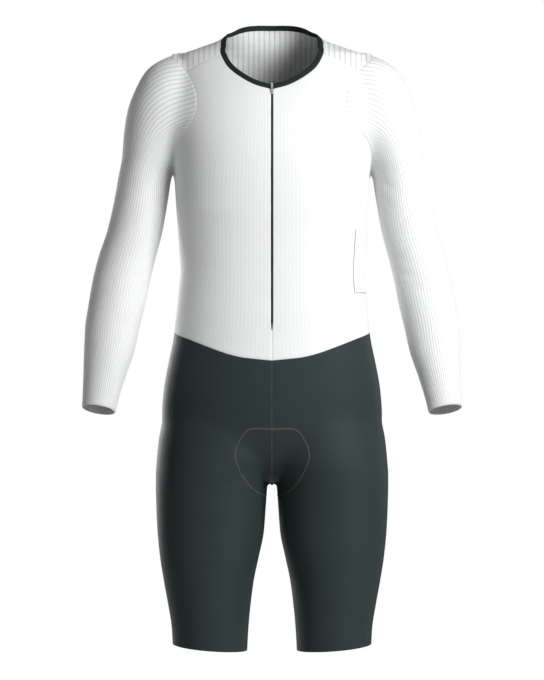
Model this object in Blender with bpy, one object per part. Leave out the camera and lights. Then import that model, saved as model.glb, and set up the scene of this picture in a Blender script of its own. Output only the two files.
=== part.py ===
"""Cycling skinsuit, worn shape: long ribbed sleeves, low bound collar, front zip, dark shorts.

Millimetres until a mesh is made. +X is the wearer's left, -Y the front, +Z up. The origin is
where the shoulders and the base of the neck carry the suit.

Every panel lies on one closed surface, the form: a trunk, two arms and two legs, each a stack of
rounded sections, run together softly where they meet. Seams are smooth lines drawn on the form.
A panel is a grid stretched between four seams, laid on the form and given a wall inward.
"""

import bmesh
import bpy
import numpy as np
from mathutils import Matrix, Vector

METRES = 0.001

# Driving dimensions.
CLOTH = 1.2                # wall of every cloth panel
SEAM_GAP = 0.3             # between two pieces sewn edge to edge
SOFTNESS = 3.0             # how widely two limbs of the form run together
SHOULDER_SOFTNESS = 12.0   # more of it, round this height, where the arms join
SHOULDER_HEIGHT, SHOULDER_SPREAD = -120.0, 50.0
BINDING_WIDTH = 8.5        # the collar's folded tape
BINDING_WALL = 2.0
BINDING_PROUD = 0.4        # the tape stands this far outside the panels
ZIP_WIDTH = 3.2
ZIP_END_WIDTH = 1.0        # the zip narrows to this at its foot
ZIP_FOOT = -449.0          # height where the zip ends
ZIP_TAPER = 13.0           # height over which it narrows
POCKET_LIFT = 1.2          # the patch pocket's inside, above the panels' outside
POCKET_WALL = 1.0
MIDDLE = SEAM_GAP / 2      # a seam at the middle plane leaves this to each side
SHARP_FROM = 0.7           # edges that turn more than this, in radians, are shaded sharp
NEVER_ZERO = 1e-9          # keeps a division from failing
STEADY = 0.02              # keeps a step short where the form's level hardly changes

# The slider and its pull tab, in their own frame: x across, y into the cloth, z up the zip.
SLIDER_WIDTH = 3.0
SLIDER_HEIGHT = 9.2
SLIDER_THICK = 1.8
SLIDER_LIFT = 0.6          # its back, above the zip
LUG_THICK = 0.6            # the two lugs that hold the tab's pin
LUG_HEIGHT = 2.8
LUG_HOLE = 0.65
AXIS_UP = 0.9              # the pin, above the slider's lower end
AXIS_OUT = 0.8             # and in front of its face
PIN_RADIUS = 0.35
BARREL_RADIUS = 0.6
BARREL_WIDTH = 1.1
TAB_NECK = 2.1             # the tab widens this far below the pin
TAB_WIDTH = 2.0
TAB_LENGTH = 10.2
TAB_THICK = 0.7
TAB_STEM_THICK = 0.6       # the narrow stem between the pin's barrel and the tab
TAB_CLEARANCE = 1.3        # its tip's middle, above the cloth
TAB_DROP = 0.93            # how much of its length it hangs down, for it leans outward
LUG_COVER = 0.7            # metal in front of the pin
ROOT = 0.4                 # how deep a joined piece reaches into the one that carries it
SKIP = 0.02                # keeps two joined faces from lying in one plane

# Sections of the form. Heights run down; a side limb's inner and outer edges are measured from
# the middle plane, fronts and backs from the plane through the shoulders.
TRUNK = (
    # height, inner, outer, front, back, fullness
    (70, -56, 56, -50, 66, 2.0),
    (45, -61, 61, -52, 69, 2.0),
    (30, -68, 68, -54, 71, 2.0),
    (16, -84, 84, -57, 73, 2.0),
    (3, -118, 118, -62, 76, 2.0),
    (-10, -150, 150, -68, 81, 2.1),
    (-35, -163, 163, -79, 91, 2.2),
    (-61, -163, 163, -91, 100, 2.3),
    (-99, -161, 161, -105, 108, 2.4),
    (-138, -159, 159, -114, 111, 2.4),
    (-176, -157, 157, -117, 110, 2.4),
    (-214, -155, 155, -116, 107, 2.4),
    (-253, -153, 153, -113, 103, 2.4),
    (-291, -150, 150, -109, 99, 2.3),
    (-330, -147.5, 147.5, -106, 96, 2.3),
    (-352, -146, 146, -105, 96, 2.3),
    (-387, -149, 149, -105, 98, 2.3),
    (-426, -153, 153, -107, 104, 2.3),
    (-464, -158, 158, -109, 112, 2.3),
    (-502, -166, 166, -111, 120, 2.3),
    (-541, -173, 173, -111, 126, 2.3),
    (-579, -176, 176, -109, 127, 2.2),
    (-610, -171, 171, -104, 122, 2.2),
    (-640, -156, 156, -91, 110, 2.1),
    (-665, -128, 128, -71, 89, 2.0),
    (-682, -88, 88, -46, 62, 2.0),
    (-689, -44, 44, -22, 34, 2.0),
    (-692, -3, 3, -1, 5, 2.0),
)
ARM = (
    # height, inner, outer, front, back, fullness
    (-9, 140, 161, -6, 10, 2.0),
    (-22, 108, 187, -32, 38, 2.0),
    (-35, 104, 202, -43, 48, 2.0),
    (-61, 106, 217, -54, 58, 2.0),
    (-99, 116, 231, -59, 62, 2.0),
    (-138, 130, 237, -57, 60, 2.0),
    (-176, 150, 240, -52, 56, 2.0),
    (-200, 161, 245, -48, 54, 2.0),
    (-234, 166, 251, -44, 52, 2.0),
    (-291, 176, 264, -41, 50, 2.0),
    (-330, 186, 277, -44, 49, 2.0),
    (-368, 195, 286, -53, 40, 2.0),
    (-406, 202, 292, -63, 29, 2.0),
    (-445, 211, 297, -72, 16, 2.0),
    (-483, 219, 298, -79, 1, 2.0),
    (-522, 232, 298.5, -84, -14, 2.0),
    (-560, 243, 299, -91, -31, 2.0),
    (-610, 254, 308, -104, -48, 2.0),
)
LEG = (
    # height, inner, outer, front, back, fullness
    (-560, -70, 160, -90, 108, 2.1),
    (-618, -42, 180.5, -101, 118, 2.1),
    (-656, -16, 184.5, -104, 115, 2.1),
    (-680, 2, 186, -103, 110, 2.1),
    (-694, 7, 186, -102, 106, 2.1),
    (-733, 10, 185, -98, 98, 2.1),
    (-771, 13, 183, -94, 91, 2.1),
    (-810, 21, 179, -90, 84, 2.1),
    (-848, 29, 173, -86, 77, 2.0),
    (-886, 34, 166, -82, 70, 2.0),
    (-925, 37.6, 160, -78, 64, 2.0),
    (-990, 41, 157, -73, 58, 2.0),
)

# Seams of the wearer's left half, as guide points near the form. Right-hand seams mirror them.
NECK_FRONT = ((0, -95, -71), (32, -91, -61), (54, -82, -47), (73, -68, -30), (80.5, -56, -13))
NECK_BACK = (
    (80.5, -56, -13), (81, -42, 3), (79.5, -8, 18), (73, 25, 25), (58, 46, 32), (32, 62, 37), (0, 70, 38),
)
SHOULDER = ((80.5, -56, -13), (97, -55, -19), (118, -53, -28), (138, -52, -37))
ARMHOLE_FRONT = (
    (138, -52, -37), (127, -72, -58), (121.5, -85, -80), (122, -90, -94), (127, -90, -109),
    (138, -84, -127), (149, -72, -142), (156, -54, -157), (159, -28, -179), (158, 0, -197),
)
ARMHOLE_BACK = (
    (158, 0, -197), (159, 28, -181), (154, 56, -158), (143, 78, -128), (135, 86, -90),
    (140, 76, -52), (154, 42, -22), (164, 2, -12), (152, -32, -24), (138, -52, -37),
)
SIDE = ((156, 0, -451), (149, 0, -387), (146, 0, -345), (152, 0, -262), (158, 0, -197))
BACK_AT_ARMPITS, BACK_AT_SHOULDERS = -190.0, -62.0   # heights of those rows at the middle back
BACK_BEND_FROM = 0.62
SHOULDER_LIFT = 38.0       # the yoke's grid settles from this far above its seams
NECK_FADE = 0.1            # and from this share of that less, near the neck
FRONT_GUESS, BACK_GUESS, THROAT_GUESS = -108.0, 95.0, -95.0   # where middle lines start to settle
WAIST_FRONT = ((0, -111, -496), (53, -106, -490), (91, -88, -478), (130, -58, -462), (156, 0, -451))
WAIST_BACK = ((156, 0, -451), (135, 60, -448), (80, 96, -444), (0, 108, -442))
FORK_FRONT = (
    (0, -111, -496), (0, -111, -541), (0, -108, -582), (0, -96, -630), (0, -68, -668),
    (0, -34, -688), (0, 4, -694),
)
FORK_BACK = (
    (0, 108, -442), (0, 122, -510), (0, 127, -570), (0, 116, -626), (0, 88, -666),
    (0, 48, -688), (0, 4, -694),
)
INSEAM = ((0, 4, -694), (8, 2, -712), (12, 0, -760), (24, -3, -828), (35, -6, -892), (41, -8, -959))
HEM_OUTER, HEM_INNER = -949.0, -959.0
ARMHOLE_MIDDLE = -128.0    # the height round which the armhole's points are told by angle
SHOULDER_DEPTH = 2.0       # the middle of the sleeve's head, front to back
SHOULDER_FAN = (
    # inner x, inner height, outer x, outer height, half depth
    (158, -197, 164, -11, 78),
    (160.5, -207, 194, -29, 74),
    (163, -218, 216, -60, 68),
    (165, -230, 230, -102, 61),
    (167, -245, 240, -165, 54),
    (170, -262, 253, -240, 48),
)
ARM_RINGS = (
    # height, how its plane climbs outward and backward
    (-292, (0.16, 0.0)), (-330, (0.13, -0.06)), (-368, (0.13, -0.15)), (-406, (0.14, -0.22)),
    (-445, (0.16, -0.28)), (-483, (0.17, -0.3)), (-518, (0.18, -0.3)), (-549, (0.18, -0.3)),
)
CUFF_MIDDLE = (272.5, -62, -575)
CUFF_RISE = (0.18, -0.30)   # how the cuff's plane climbs outward and backward

# The patch pocket: its height, and where it starts and ends round the waist, in degrees from the side.
POCKET_LOW, POCKET_HIGH = -393.0, -288.0
POCKET_FRONT, POCKET_BACK = -34.0, 40.0
POCKET_SLANT = 4.0
POCKET_ROWS, POCKET_COLUMNS = 6, 9

# How many straight pieces each seam is cut into, so that neighbours share their corners.
CENTRE_PARTS, NECK_FRONT_PARTS, NECK_BACK_PARTS = 12, 4, 9
SIDE_PARTS, ARM_FRONT_PARTS, ARM_BACK_PARTS = 8, 8, 10
SHOULDER_PARTS, FORK_PARTS, INSEAM_PARTS = 9, 8, 7
FORK_CROWDING = 1.5
EVENING_PASSES, EVENING = 3, 0.5

COLOURS = {
    "white_cloth": ((0.78, 0.79, 0.79), 0.72, 0.0),
    "ribbed_cloth": ((0.74, 0.75, 0.75), 0.78, 0.0),
    "dark_cloth": ((0.035, 0.045, 0.044), 0.5, 0.0),
    "zip_tape": ((0.01, 0.01, 0.01), 0.55, 0.0),
    "metal": ((0.55, 0.56, 0.57), 0.32, 1.0),
}


# ---- The form ----

def slopes(heights, values):
    """Return a slope at each row that never lets the curve overshoot a neighbouring value."""
    steps = np.diff(values) / np.diff(heights)
    inner = np.zeros(len(values))
    same_way = steps[:-1] * steps[1:] > 0
    before, after = steps[:-1][same_way], steps[1:][same_way]
    inner[1:-1][same_way] = 2 * before * after / (before + after)
    inner[0], inner[-1] = steps[0], steps[-1]
    return inner


def read_table(table, height):
    """Return each column of a table at the given heights, as smooth curves through its rows."""
    rows = np.array(table, float)[::-1]
    known = rows[:, 0]
    height = np.clip(height, known[0], known[-1])
    row = np.clip(np.searchsorted(known, height) - 1, 0, len(known) - 2)
    span = known[row + 1] - known[row]
    t = (height - known[row]) / span
    columns = []
    for values in rows[:, 1:].T:
        tilt = slopes(known, values)
        columns.append(
            (1 + 2 * t) * (1 - t) ** 2 * values[row] + t * (1 - t) ** 2 * span * tilt[row]
            + t ** 2 * (3 - 2 * t) * values[row + 1] + t ** 2 * (t - 1) * span * tilt[row + 1]
        )
    return columns


def limb_level(points, table, side):
    """Return how far points lie outside one limb, along lines from its section's middle."""
    x, y, z = side * points[..., 0], points[..., 1], points[..., 2]
    inner, outer, front, back, fullness = read_table(table, z)
    across, deep = x - (inner + outer) / 2, y - (front + back) / 2
    half_width, half_depth = (outer - inner) / 2, (back - front) / 2
    share = (
        np.abs(across / half_width) ** fullness + np.abs(deep / half_depth) ** fullness + NEVER_ZERO
    ) ** (1 / fullness)
    past_end = np.maximum(table[-1][0] - z, 0) + np.maximum(z - table[0][0], 0)
    return np.hypot(across, deep) * (1 - 1 / share) + past_end


def form_level(points):
    """Return how far points lie outside the whole form: a soft minimum over its limbs."""
    from_shoulder = (points[..., 2] - SHOULDER_HEIGHT) / SHOULDER_SPREAD
    softness = SOFTNESS + SHOULDER_SOFTNESS * np.exp(-from_shoulder ** 2)
    level = -limb_level(points, TRUNK, 1) / softness
    for table in (ARM, LEG):
        for side in (1, -1):
            level = np.logaddexp(level, -limb_level(points, table, side) / softness)
    return -softness * level


def form_gradient(points, reach=0.4):
    """Return how form_level changes along each axis."""
    change = [
        form_level(points + reach * axis) - form_level(points - reach * axis) for axis in np.eye(3)
    ]
    return np.stack(change, axis=-1) / (2 * reach)


def outward(points):
    """Return the unit direction out of the form."""
    gradient = form_gradient(points)
    return gradient / np.linalg.norm(gradient, axis=-1, keepdims=True)


def settle(points, nearest_x=None, steps=14, longest=18.0):
    """Move points onto the form; with nearest_x they stay that far to the left of the middle."""
    points = np.array(points, float)
    for _ in range(steps):
        gradient = form_gradient(points)
        push = form_level(points)[..., None] * gradient
        push /= np.sum(gradient ** 2, axis=-1, keepdims=True) + STEADY
        length = np.linalg.norm(push, axis=-1, keepdims=True)
        points = points - push * np.minimum(1, longest / np.maximum(length, NEVER_ZERO))
        if nearest_x is not None:
            points[..., 0] = np.maximum(points[..., 0], nearest_x)
    return points


# ---- Seams ----

def smooth_line(guides, count):
    """Return points on a smooth curve through the guides, many to each stretch."""
    guides = np.array(guides, float)
    ends = np.vstack((2 * guides[0] - guides[1], guides, 2 * guides[-1] - guides[-2]))
    line = []
    for a, b, c, d in zip(ends, ends[1:], ends[2:], ends[3:]):
        t = np.linspace(0, 1, count, endpoint=False)[:, None]
        line.append(
            0.5 * (2 * b + (c - a) * t + (2 * a - 5 * b + 4 * c - d) * t ** 2
                   + (3 * b - a - 3 * c + d) * t ** 3)
        )
    return np.vstack(line + [guides[-1:]])


def even_parts(line, parts, crowding=1.0):
    """Return parts + 1 points that cut a line evenly, or closer toward its end if crowded."""
    steps = np.linalg.norm(np.diff(line, axis=0), axis=1)
    run = np.concatenate(([0], np.cumsum(steps)))
    places = run[-1] * (1 - np.linspace(1, 0, parts + 1) ** crowding)
    return np.stack([np.interp(places, run, line[:, axis]) for axis in range(3)], axis=1)


def seam(guides, parts):
    """Return a seam of the form cut into equal parts."""
    return settle(even_parts(settle(smooth_line(guides, 12)), parts))


def fork_seam(guides, parts):
    """Return a seam in the middle plane whose parts grow shorter toward the fork of the legs."""
    line = settle(even_parts(settle(smooth_line(guides, 12)), parts, FORK_CROWDING))
    line[:, 0] = 0
    return line


def middle_line(heights, guess_y):
    """Return a line in the middle plane with a point at each height."""
    heights = np.array(heights, float)
    line = np.stack((np.zeros_like(heights), np.full_like(heights, guess_y), heights), axis=1)
    for _ in range(3):
        line = settle(line)
        line[:, 2] = heights
        line[:, 0] = 0
    return line


def centre_front():
    """Return the front edge from the waist up to the collar, with a corner at the zip's foot."""
    low, top = WAIST_FRONT[0][2], NECK_FRONT[0][2]
    upper = np.linspace(ZIP_FOOT + ZIP_TAPER, top, CENTRE_PARTS - 2)
    return middle_line([low, (low + ZIP_FOOT) / 2, ZIP_FOOT, *upper], FRONT_GUESS)


def centre_back():
    """Return the back's middle line: rows close up toward the neck, as the shoulder's do."""
    low, top = WAIST_BACK[-1][2], NECK_BACK[-1][2]
    lower = np.linspace(low, BACK_AT_ARMPITS, SIDE_PARTS + 1)
    blades = np.linspace(BACK_AT_ARMPITS, BACK_AT_SHOULDERS, ARM_BACK_PARTS + 1)
    upper = np.linspace(BACK_AT_SHOULDERS, top, SHOULDER_PARTS + 1)
    return middle_line([*lower, *blades[1:], *upper[1:]], BACK_GUESS)


# ---- Panels ----

def join(*lines):
    """Return lines that meet end to end as one, each shared point once."""
    return np.vstack([lines[0]] + [line[1:] for line in lines[1:]])


def stretch(left, right, bottom, top, bend_from=1.0):
    """Return the grid stretched between four lines: rows climb left and right, columns cross.

    A row takes its bend from the bottom and top lines, wholly from the top above bend_from.
    """
    v = np.minimum(1, np.linspace(0, 1, len(left)) / bend_from)[:, None, None]
    u = np.linspace(0, 1, len(bottom))[None, :, None]
    sides = (1 - u) * left[:, None] + u * right[:, None]
    ends = (1 - v) * bottom[None] + v * top[None]
    corners = (
        (1 - u) * (1 - v) * bottom[0] + u * (1 - v) * bottom[-1]
        + (1 - u) * v * top[0] + u * v * top[-1]
    )
    return sides + ends - corners


def lay(grid, nearest_x=None):
    """Settle a grid's inner points on the form, evening them out as they go, and keep its edges."""
    grid = grid.copy()
    grid[1:-1, 1:-1] = settle(grid[1:-1, 1:-1], nearest_x)
    for _ in range(EVENING_PASSES):
        around = (grid[:-2, 1:-1] + grid[2:, 1:-1] + grid[1:-1, :-2] + grid[1:-1, 2:]) / 4
        inner = grid[1:-1, 1:-1] + EVENING * (around - grid[1:-1, 1:-1])
        grid[1:-1, 1:-1] = settle(inner, nearest_x, steps=2)
    grid[1:-1, 1:-1] = settle(grid[1:-1, 1:-1], nearest_x, steps=6)
    return grid


def ease(edge, inside, gap):
    """Move an edge toward the row inside it, along the form and square to the edge."""
    square = np.cross(np.gradient(edge, axis=0), outward(edge))
    square /= np.linalg.norm(square, axis=1, keepdims=True)
    toward = np.sign(np.sum(square * (inside - edge), axis=1, keepdims=True))
    return edge + gap * toward * square


def ease_edges(grid, low=True, high=True, first=True, last=True):
    """Return a grid with half a seam gap taken off the edges named."""
    eased, gap = grid.copy(), SEAM_GAP / 2
    if low:
        eased[0] += ease(grid[0], grid[1], gap) - grid[0]
    if high:
        eased[-1] += ease(grid[-1], grid[-2], gap) - grid[-1]
    if first:
        eased[:, 0] += ease(grid[:, 0], grid[:, 1], gap) - grid[:, 0]
    if last:
        eased[:, -1] += ease(grid[:, -1], grid[:, -2], gap) - grid[:, -1]
    return eased


def mirrored(grid):
    """Return a grid on the wearer's other side."""
    return grid * np.array([-1, 1, 1])


def wall(name, grid, thick, lift=0.0, closed=False, material="white_cloth"):
    """Make one solid: the grid's points lifted outward, and the same points a wall inward.

    Each cell is cut along its shorter diagonal, so that both halves of a panel bend alike.
    """
    normals = outward(grid)
    outer, inner = grid + lift * normals, grid + (lift - thick) * normals
    rows, columns = grid.shape[:2]
    across = columns if closed else columns - 1
    corners = np.concatenate((outer.reshape(-1, 3), inner.reshape(-1, 3)))
    under = rows * columns

    def at(row, column):
        return row * columns + column % columns

    faces = []

    def two_triangles(a, b, c, d):
        """Fill a strip's end between outer corners a, b and inner ones c, d; cut from its top."""
        if corners[a][2] > corners[b][2]:
            faces.extend(((a, b, c), (a, c, d)))
        else:
            faces.extend(((b, c, d), (b, d, a)))

    for row in range(rows - 1):
        for column in range(across):
            a, b = at(row, column), at(row, column + 1)
            c, d = at(row + 1, column + 1), at(row + 1, column)
            if np.linalg.norm(corners[a] - corners[c]) > np.linalg.norm(corners[b] - corners[d]):
                a, b, c, d = b, c, d, a
            faces.extend(((a, b, c), (a, c, d)))
            faces.extend(((under + c, under + b, under + a), (under + d, under + c, under + a)))
    for column in range(across):
        a, b = at(0, column), at(0, column + 1)
        two_triangles(b, a, under + a, under + b)
        c, d = at(rows - 1, column), at(rows - 1, column + 1)
        two_triangles(c, d, under + d, under + c)
    if not closed:
        for row in range(rows - 1):
            a, b = at(row, 0), at(row + 1, 0)
            two_triangles(a, b, under + b, under + a)
            c, d = at(row, columns - 1), at(row + 1, columns - 1)
            two_triangles(d, c, under + c, under + d)
    return make_object(name, corners, faces, material)


def make_object(name, corners, faces, material):
    """Make a mesh object from corners in millimetres, with its faces turned to point out."""
    mesh = bpy.data.meshes.new(name)
    mesh.from_pydata([tuple(METRES * corner) for corner in corners], [], faces)
    shape = bmesh.new()
    shape.from_mesh(mesh)
    bmesh.ops.recalc_face_normals(shape, faces=shape.faces)
    shape.to_mesh(mesh)
    shape.free()
    mesh.shade_smooth()
    mesh.set_sharp_from_angle(angle=SHARP_FROM)
    item = bpy.data.objects.new(name, mesh)
    mesh.materials.append(paint(name, material))
    bpy.context.scene.collection.objects.link(item)
    return item


def paint(name, kind):
    """Return the object's own material in one of the suit's colours."""
    colour, roughness, metallic = COLOURS[kind]
    material = bpy.data.materials.new(name)
    material.use_nodes = True
    shader = material.node_tree.nodes["Principled BSDF"]
    shader.inputs["Base Color"].default_value = (*colour, 1)
    shader.inputs["Roughness"].default_value = roughness
    shader.inputs["Metallic"].default_value = metallic
    return material


def zip_edge(heights, extra):
    """Return half the zip's width at each height, and extra; the middle seam's gap below it."""
    full = ZIP_WIDTH / 2
    narrow = ZIP_END_WIDTH / 2
    share = np.clip((heights - ZIP_FOOT) / ZIP_TAPER, 0, 1)
    width = narrow + (full - narrow) * share + extra
    return np.where(heights < ZIP_FOOT - NEVER_ZERO, MIDDLE, width)


# ---- The suit's pieces ----

class Seams:
    """All the seams of the wearer's left half, each cut into its parts once."""

    def __init__(self):
        self.centre = centre_front()
        self.neck_front = seam(NECK_FRONT, NECK_FRONT_PARTS)
        self.neck_front[0] = self.centre[-1]
        self.neck_back = seam(NECK_BACK, NECK_BACK_PARTS)
        self.neck_back[-1, 0] = 0
        self.neck_back[0] = self.neck_front[-1]
        self.shoulder = seam(SHOULDER, SHOULDER_PARTS)
        self.shoulder[0] = self.neck_front[-1]
        self.arm_front = seam(ARMHOLE_FRONT, ARM_FRONT_PARTS)
        self.arm_front[0] = self.shoulder[-1]
        self.arm_back = seam(ARMHOLE_BACK, ARM_BACK_PARTS)
        self.arm_back[0] = self.arm_front[-1]
        self.arm_back[-1] = self.shoulder[-1]
        self.side = seam(SIDE, SIDE_PARTS)
        self.side[-1] = self.arm_front[-1]
        self.waist_front = seam(WAIST_FRONT, SHOULDER_PARTS)
        self.waist_front[0] = self.centre[0]
        self.waist_front[-1] = self.side[0]
        self.waist_back = seam(WAIST_BACK, NECK_BACK_PARTS)
        self.waist_back[0] = self.side[0]
        self.waist_back[-1, 0] = 0
        self.fork_front = fork_seam(FORK_FRONT, FORK_PARTS)
        self.fork_front[0] = self.centre[0]
        self.fork_back = fork_seam(FORK_BACK, FORK_PARTS)
        self.fork_back[0] = self.waist_back[-1]
        self.fork_back[-1] = self.fork_front[-1]
        self.inseam = seam(INSEAM, INSEAM_PARTS)
        self.inseam = settle(even_parts(self.inseam[::-1], INSEAM_PARTS, FORK_CROWDING))[::-1]
        self.inseam[0] = self.fork_front[-1]


def front_grid(seams):
    """Return the left front: from the zip and collar across to the side and the armhole."""
    left = join(seams.centre, seams.neck_front)
    right = join(seams.side, seams.arm_front[::-1])
    grid = lay(stretch(left, right, seams.waist_front, seams.shoulder), MIDDLE)
    edge = zip_edge(grid[:CENTRE_PARTS + 1, 0, 2], SEAM_GAP)
    eased = ease_edges(grid, first=False)
    eased[:CENTRE_PARTS + 1, 0, 0] = edge
    eased[CENTRE_PARTS:, 0] += (
        ease(grid[CENTRE_PARTS:, 0], grid[CENTRE_PARTS:, 1], MIDDLE) - grid[CENTRE_PARTS:, 0]
    )
    return eased


def back_grid(seams):
    """Return the whole back: rows cross from the right side, armhole and shoulder to the left."""
    left = join(seams.side, seams.arm_back, seams.shoulder[::-1])
    middle = centre_back()
    middle[0], middle[-1] = seams.waist_back[-1], seams.neck_back[-1]
    lower, upper = seams.waist_back[::-1], seams.neck_back[::-1]
    guess = stretch(middle, left, lower, upper, BACK_BEND_FROM)
    from_middle = np.linspace(0, 1, guess.shape[1])[1:-1]
    rows_below_neck = np.arange(SHOULDER_PARTS + 2, 0, -1)
    fade = np.minimum(1, rows_below_neck / SHOULDER_PARTS - NECK_FADE)[:, None]
    guess[-len(fade) - 1:-1, 1:-1, 2] += SHOULDER_LIFT * fade * from_middle ** 2
    half = lay(guess, 0)
    whole = np.concatenate((mirrored(half[:, :0:-1]), half), axis=1)
    return ease_edges(whole)[:, ::-1]


def arm_ring(height, angles, climb=(0.0, 0.0)):
    """Return a ring round the left arm: angles run from its outer side by way of its front."""
    inner, outer, front, back, _ = read_table(ARM, np.array(float(height)))
    across, deep = (outer - inner) / 2 * np.cos(angles), -(back - front) / 2 * np.sin(angles)
    rise = climb[0] * across + climb[1] * deep
    return settle(
        np.stack(((inner + outer) / 2 + across, (front + back) / 2 + deep, height + rise), axis=1)
    )


def cuff_ring(angles):
    """Return the ring where the sleeve ends, square to the forearm."""
    ring = arm_ring(CUFF_MIDDLE[2], angles, CUFF_RISE)
    for _ in range(4):
        away = ring[:, :2] - np.array(CUFF_MIDDLE[:2])
        ring[:, 2] = CUFF_MIDDLE[2] + away @ np.array(CUFF_RISE)
        ring = settle(ring, steps=3)
    return ring


def sleeve_grid(seams):
    """Return the left sleeve: closed rings that fan out from the armhole, then run down the arm."""
    armhole = np.vstack((seams.arm_front[:-1], seams.arm_back[:-1]))
    turn = np.unwrap(np.arctan2(-armhole[:, 1], armhole[:, 2] - ARMHOLE_MIDDLE))
    even = turn[0] + 2 * np.pi * np.arange(len(armhole)) / len(armhole)
    rings = []
    for step, (inner_x, inner_z, outer_x, outer_z, half_depth) in enumerate(SHOULDER_FAN):
        share = step / (len(SHOULDER_FAN) - 1)
        angles = turn + share * (even - turn)
        reach = np.cos(angles)
        ring = np.stack((
            (inner_x + outer_x) / 2 + reach * (outer_x - inner_x) / 2,
            SHOULDER_DEPTH - half_depth * np.sin(angles),
            (inner_z + outer_z) / 2 + reach * (outer_z - inner_z) / 2,
        ), axis=1)
        if step == 0:
            saddle = armhole - ring
        else:
            rings.append(settle(ring + (1 - share) ** 2 * saddle))
    rings += [arm_ring(height, even, climb) for height, climb in ARM_RINGS]
    rings.append(cuff_ring(even))
    grid = np.stack([armhole] + rings)
    closed = np.concatenate((grid, grid[:, :1]), axis=1)
    grid[0] = ease(closed[0], closed[1], SEAM_GAP / 2)[:-1]
    return grid


def hem_ring(parts):
    """Return the left leg's lower edge, from the inseam round the front and outside and back."""
    inner, outer, front, back, _ = read_table(LEG, np.array((HEM_OUTER + HEM_INNER) / 2))
    turn = np.linspace(0, 2 * np.pi, parts + 1)
    across, deep = -np.cos(turn), -np.sin(turn)
    height = HEM_INNER + (HEM_OUTER - HEM_INNER) * (1 + across) / 2
    ring = np.stack((
        (inner + outer) / 2 + across * (outer - inner) / 2,
        (front + back) / 2 + deep * (back - front) / 2,
        height,
    ), axis=1)
    ring = even_parts(settle(ring), parts)
    for _ in range(3):
        ring = settle(ring, steps=4)
        ring[:, 2] = height
    return ring


def shorts_grid(seams):
    """Return the left half of the shorts: one panel round the leg, sewn to itself inside."""
    front = join(seams.fork_front, seams.inseam)
    back = join(seams.fork_back, seams.inseam)
    waist = join(seams.waist_front, seams.waist_back)
    hem = hem_ring(len(waist) - 1)
    front[-1] = back[-1] = hem[0] = hem[-1] = (hem[0] + hem[-1]) / 2
    grid = lay(stretch(front[::-1], back[::-1], hem, waist), MIDDLE)
    eased = ease_edges(grid, low=False, first=False, last=False)
    fork = INSEAM_PARTS
    eased[fork:, 0, 0] = eased[fork:, -1, 0] = MIDDLE
    inseam = slice(0, fork + 1)
    eased[inseam, 0, 1] -= MIDDLE
    eased[inseam, -1, 1] += MIDDLE
    return eased


def collar_grid(seams):
    """Return the binding: from the left end of the zip round the neck to the right end."""
    half = join(seams.neck_front, seams.neck_back)
    lower = join(half, mirrored(half)[::-1])
    along = np.gradient(lower, axis=0)
    along /= np.linalg.norm(along, axis=1, keepdims=True)
    along[0] = along[-1] = (-1, 0, 0)
    up = np.cross(along, outward(lower))
    up *= np.sign(up[:, 2:])
    up /= np.linalg.norm(up, axis=1, keepdims=True)
    rows = [settle(lower + up * reach) for reach in (0, BINDING_WIDTH / 2, BINDING_WIDTH)]
    grid = np.stack(rows)
    grid[0] += up * SEAM_GAP / 2
    grid[:, 0, 0] = ZIP_WIDTH / 2 + SEAM_GAP
    grid[:, -1, 0] = -grid[:, 0, 0]
    return grid[:, ::-1]


def zip_grid(seams):
    """Return the zip's strip, from its foot to the collar's upper edge."""
    throat = seams.centre[-1]
    _, out_y, out_z = outward(throat[None])[0]
    above = throat + BINDING_WIDTH * np.array([0, out_z, -out_y])
    line = np.vstack((seams.centre[2:], settle(above[None])))
    half = zip_edge(line[:, 2], 0.0)
    sideways = np.array([1, 0, 0])
    return np.stack((line - half[:, None] * sideways, line + half[:, None] * sideways), axis=1)


def pocket_grid():
    """Return the patch pocket on the wearer's left, from its lower edge up, front to back."""
    turns = np.radians(np.linspace(POCKET_BACK, POCKET_FRONT, POCKET_COLUMNS + 1))
    rows = []
    for height in np.linspace(POCKET_LOW, POCKET_HIGH, POCKET_ROWS + 1):
        _, outer, front, back, _ = read_table(TRUNK, np.array(height))
        level = height + POCKET_SLANT * (height < POCKET_HIGH) * np.cos(turns)
        row = np.stack((outer * np.cos(turns), (back - front) / 2 * np.sin(turns), level), axis=1)
        rows.append(settle(row))
    return np.stack(rows)[:, ::-1]


def zip_frame():
    """Return the slider's frame: the foot of the collar on the zip, and the way up the zip."""
    foot = middle_line([NECK_FRONT[0][2] + SEAM_GAP], THROAT_GUESS)[0]
    out = outward(foot[None])[0]
    return foot, out, np.array([0, out[2], -out[1]])


def block(name, low, high):
    """Make a box between two corners, in millimetres."""
    low, high = np.array(low, float), np.array(high, float)
    corners = [
        low + (high - low) * np.array([x, y, z]) for x in (0, 1) for y in (0, 1) for z in (0, 1)
    ]
    faces = [(0, 1, 3, 2), (4, 6, 7, 5), (0, 4, 5, 1), (2, 3, 7, 6), (0, 2, 6, 4), (1, 5, 7, 3)]
    return make_object(name, corners, faces, "metal")


def rod(name, radius, half_length, sides=12):
    """Make a cylinder along x through the origin."""
    turns = 2 * np.pi * np.arange(sides) / sides
    corners = [
        np.array([x, radius * np.cos(turn), radius * np.sin(turn)])
        for x in (-half_length, half_length) for turn in turns
    ]
    faces = [tuple(range(sides)), tuple(range(sides, 2 * sides))]
    faces += [
        (k, (k + 1) % sides, sides + (k + 1) % sides, sides + k) for k in range(sides)
    ]
    return make_object(name, corners, faces, "metal")


def combine(target, others, operation):
    """Join or cut a solid by others, which then serve only as hidden guides."""
    for other in others:
        change = target.modifiers.new(other.name, "BOOLEAN")
        change.operation = operation
        change.object = other
        other.hide_render = True
        other.display_type = "WIRE"


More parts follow.
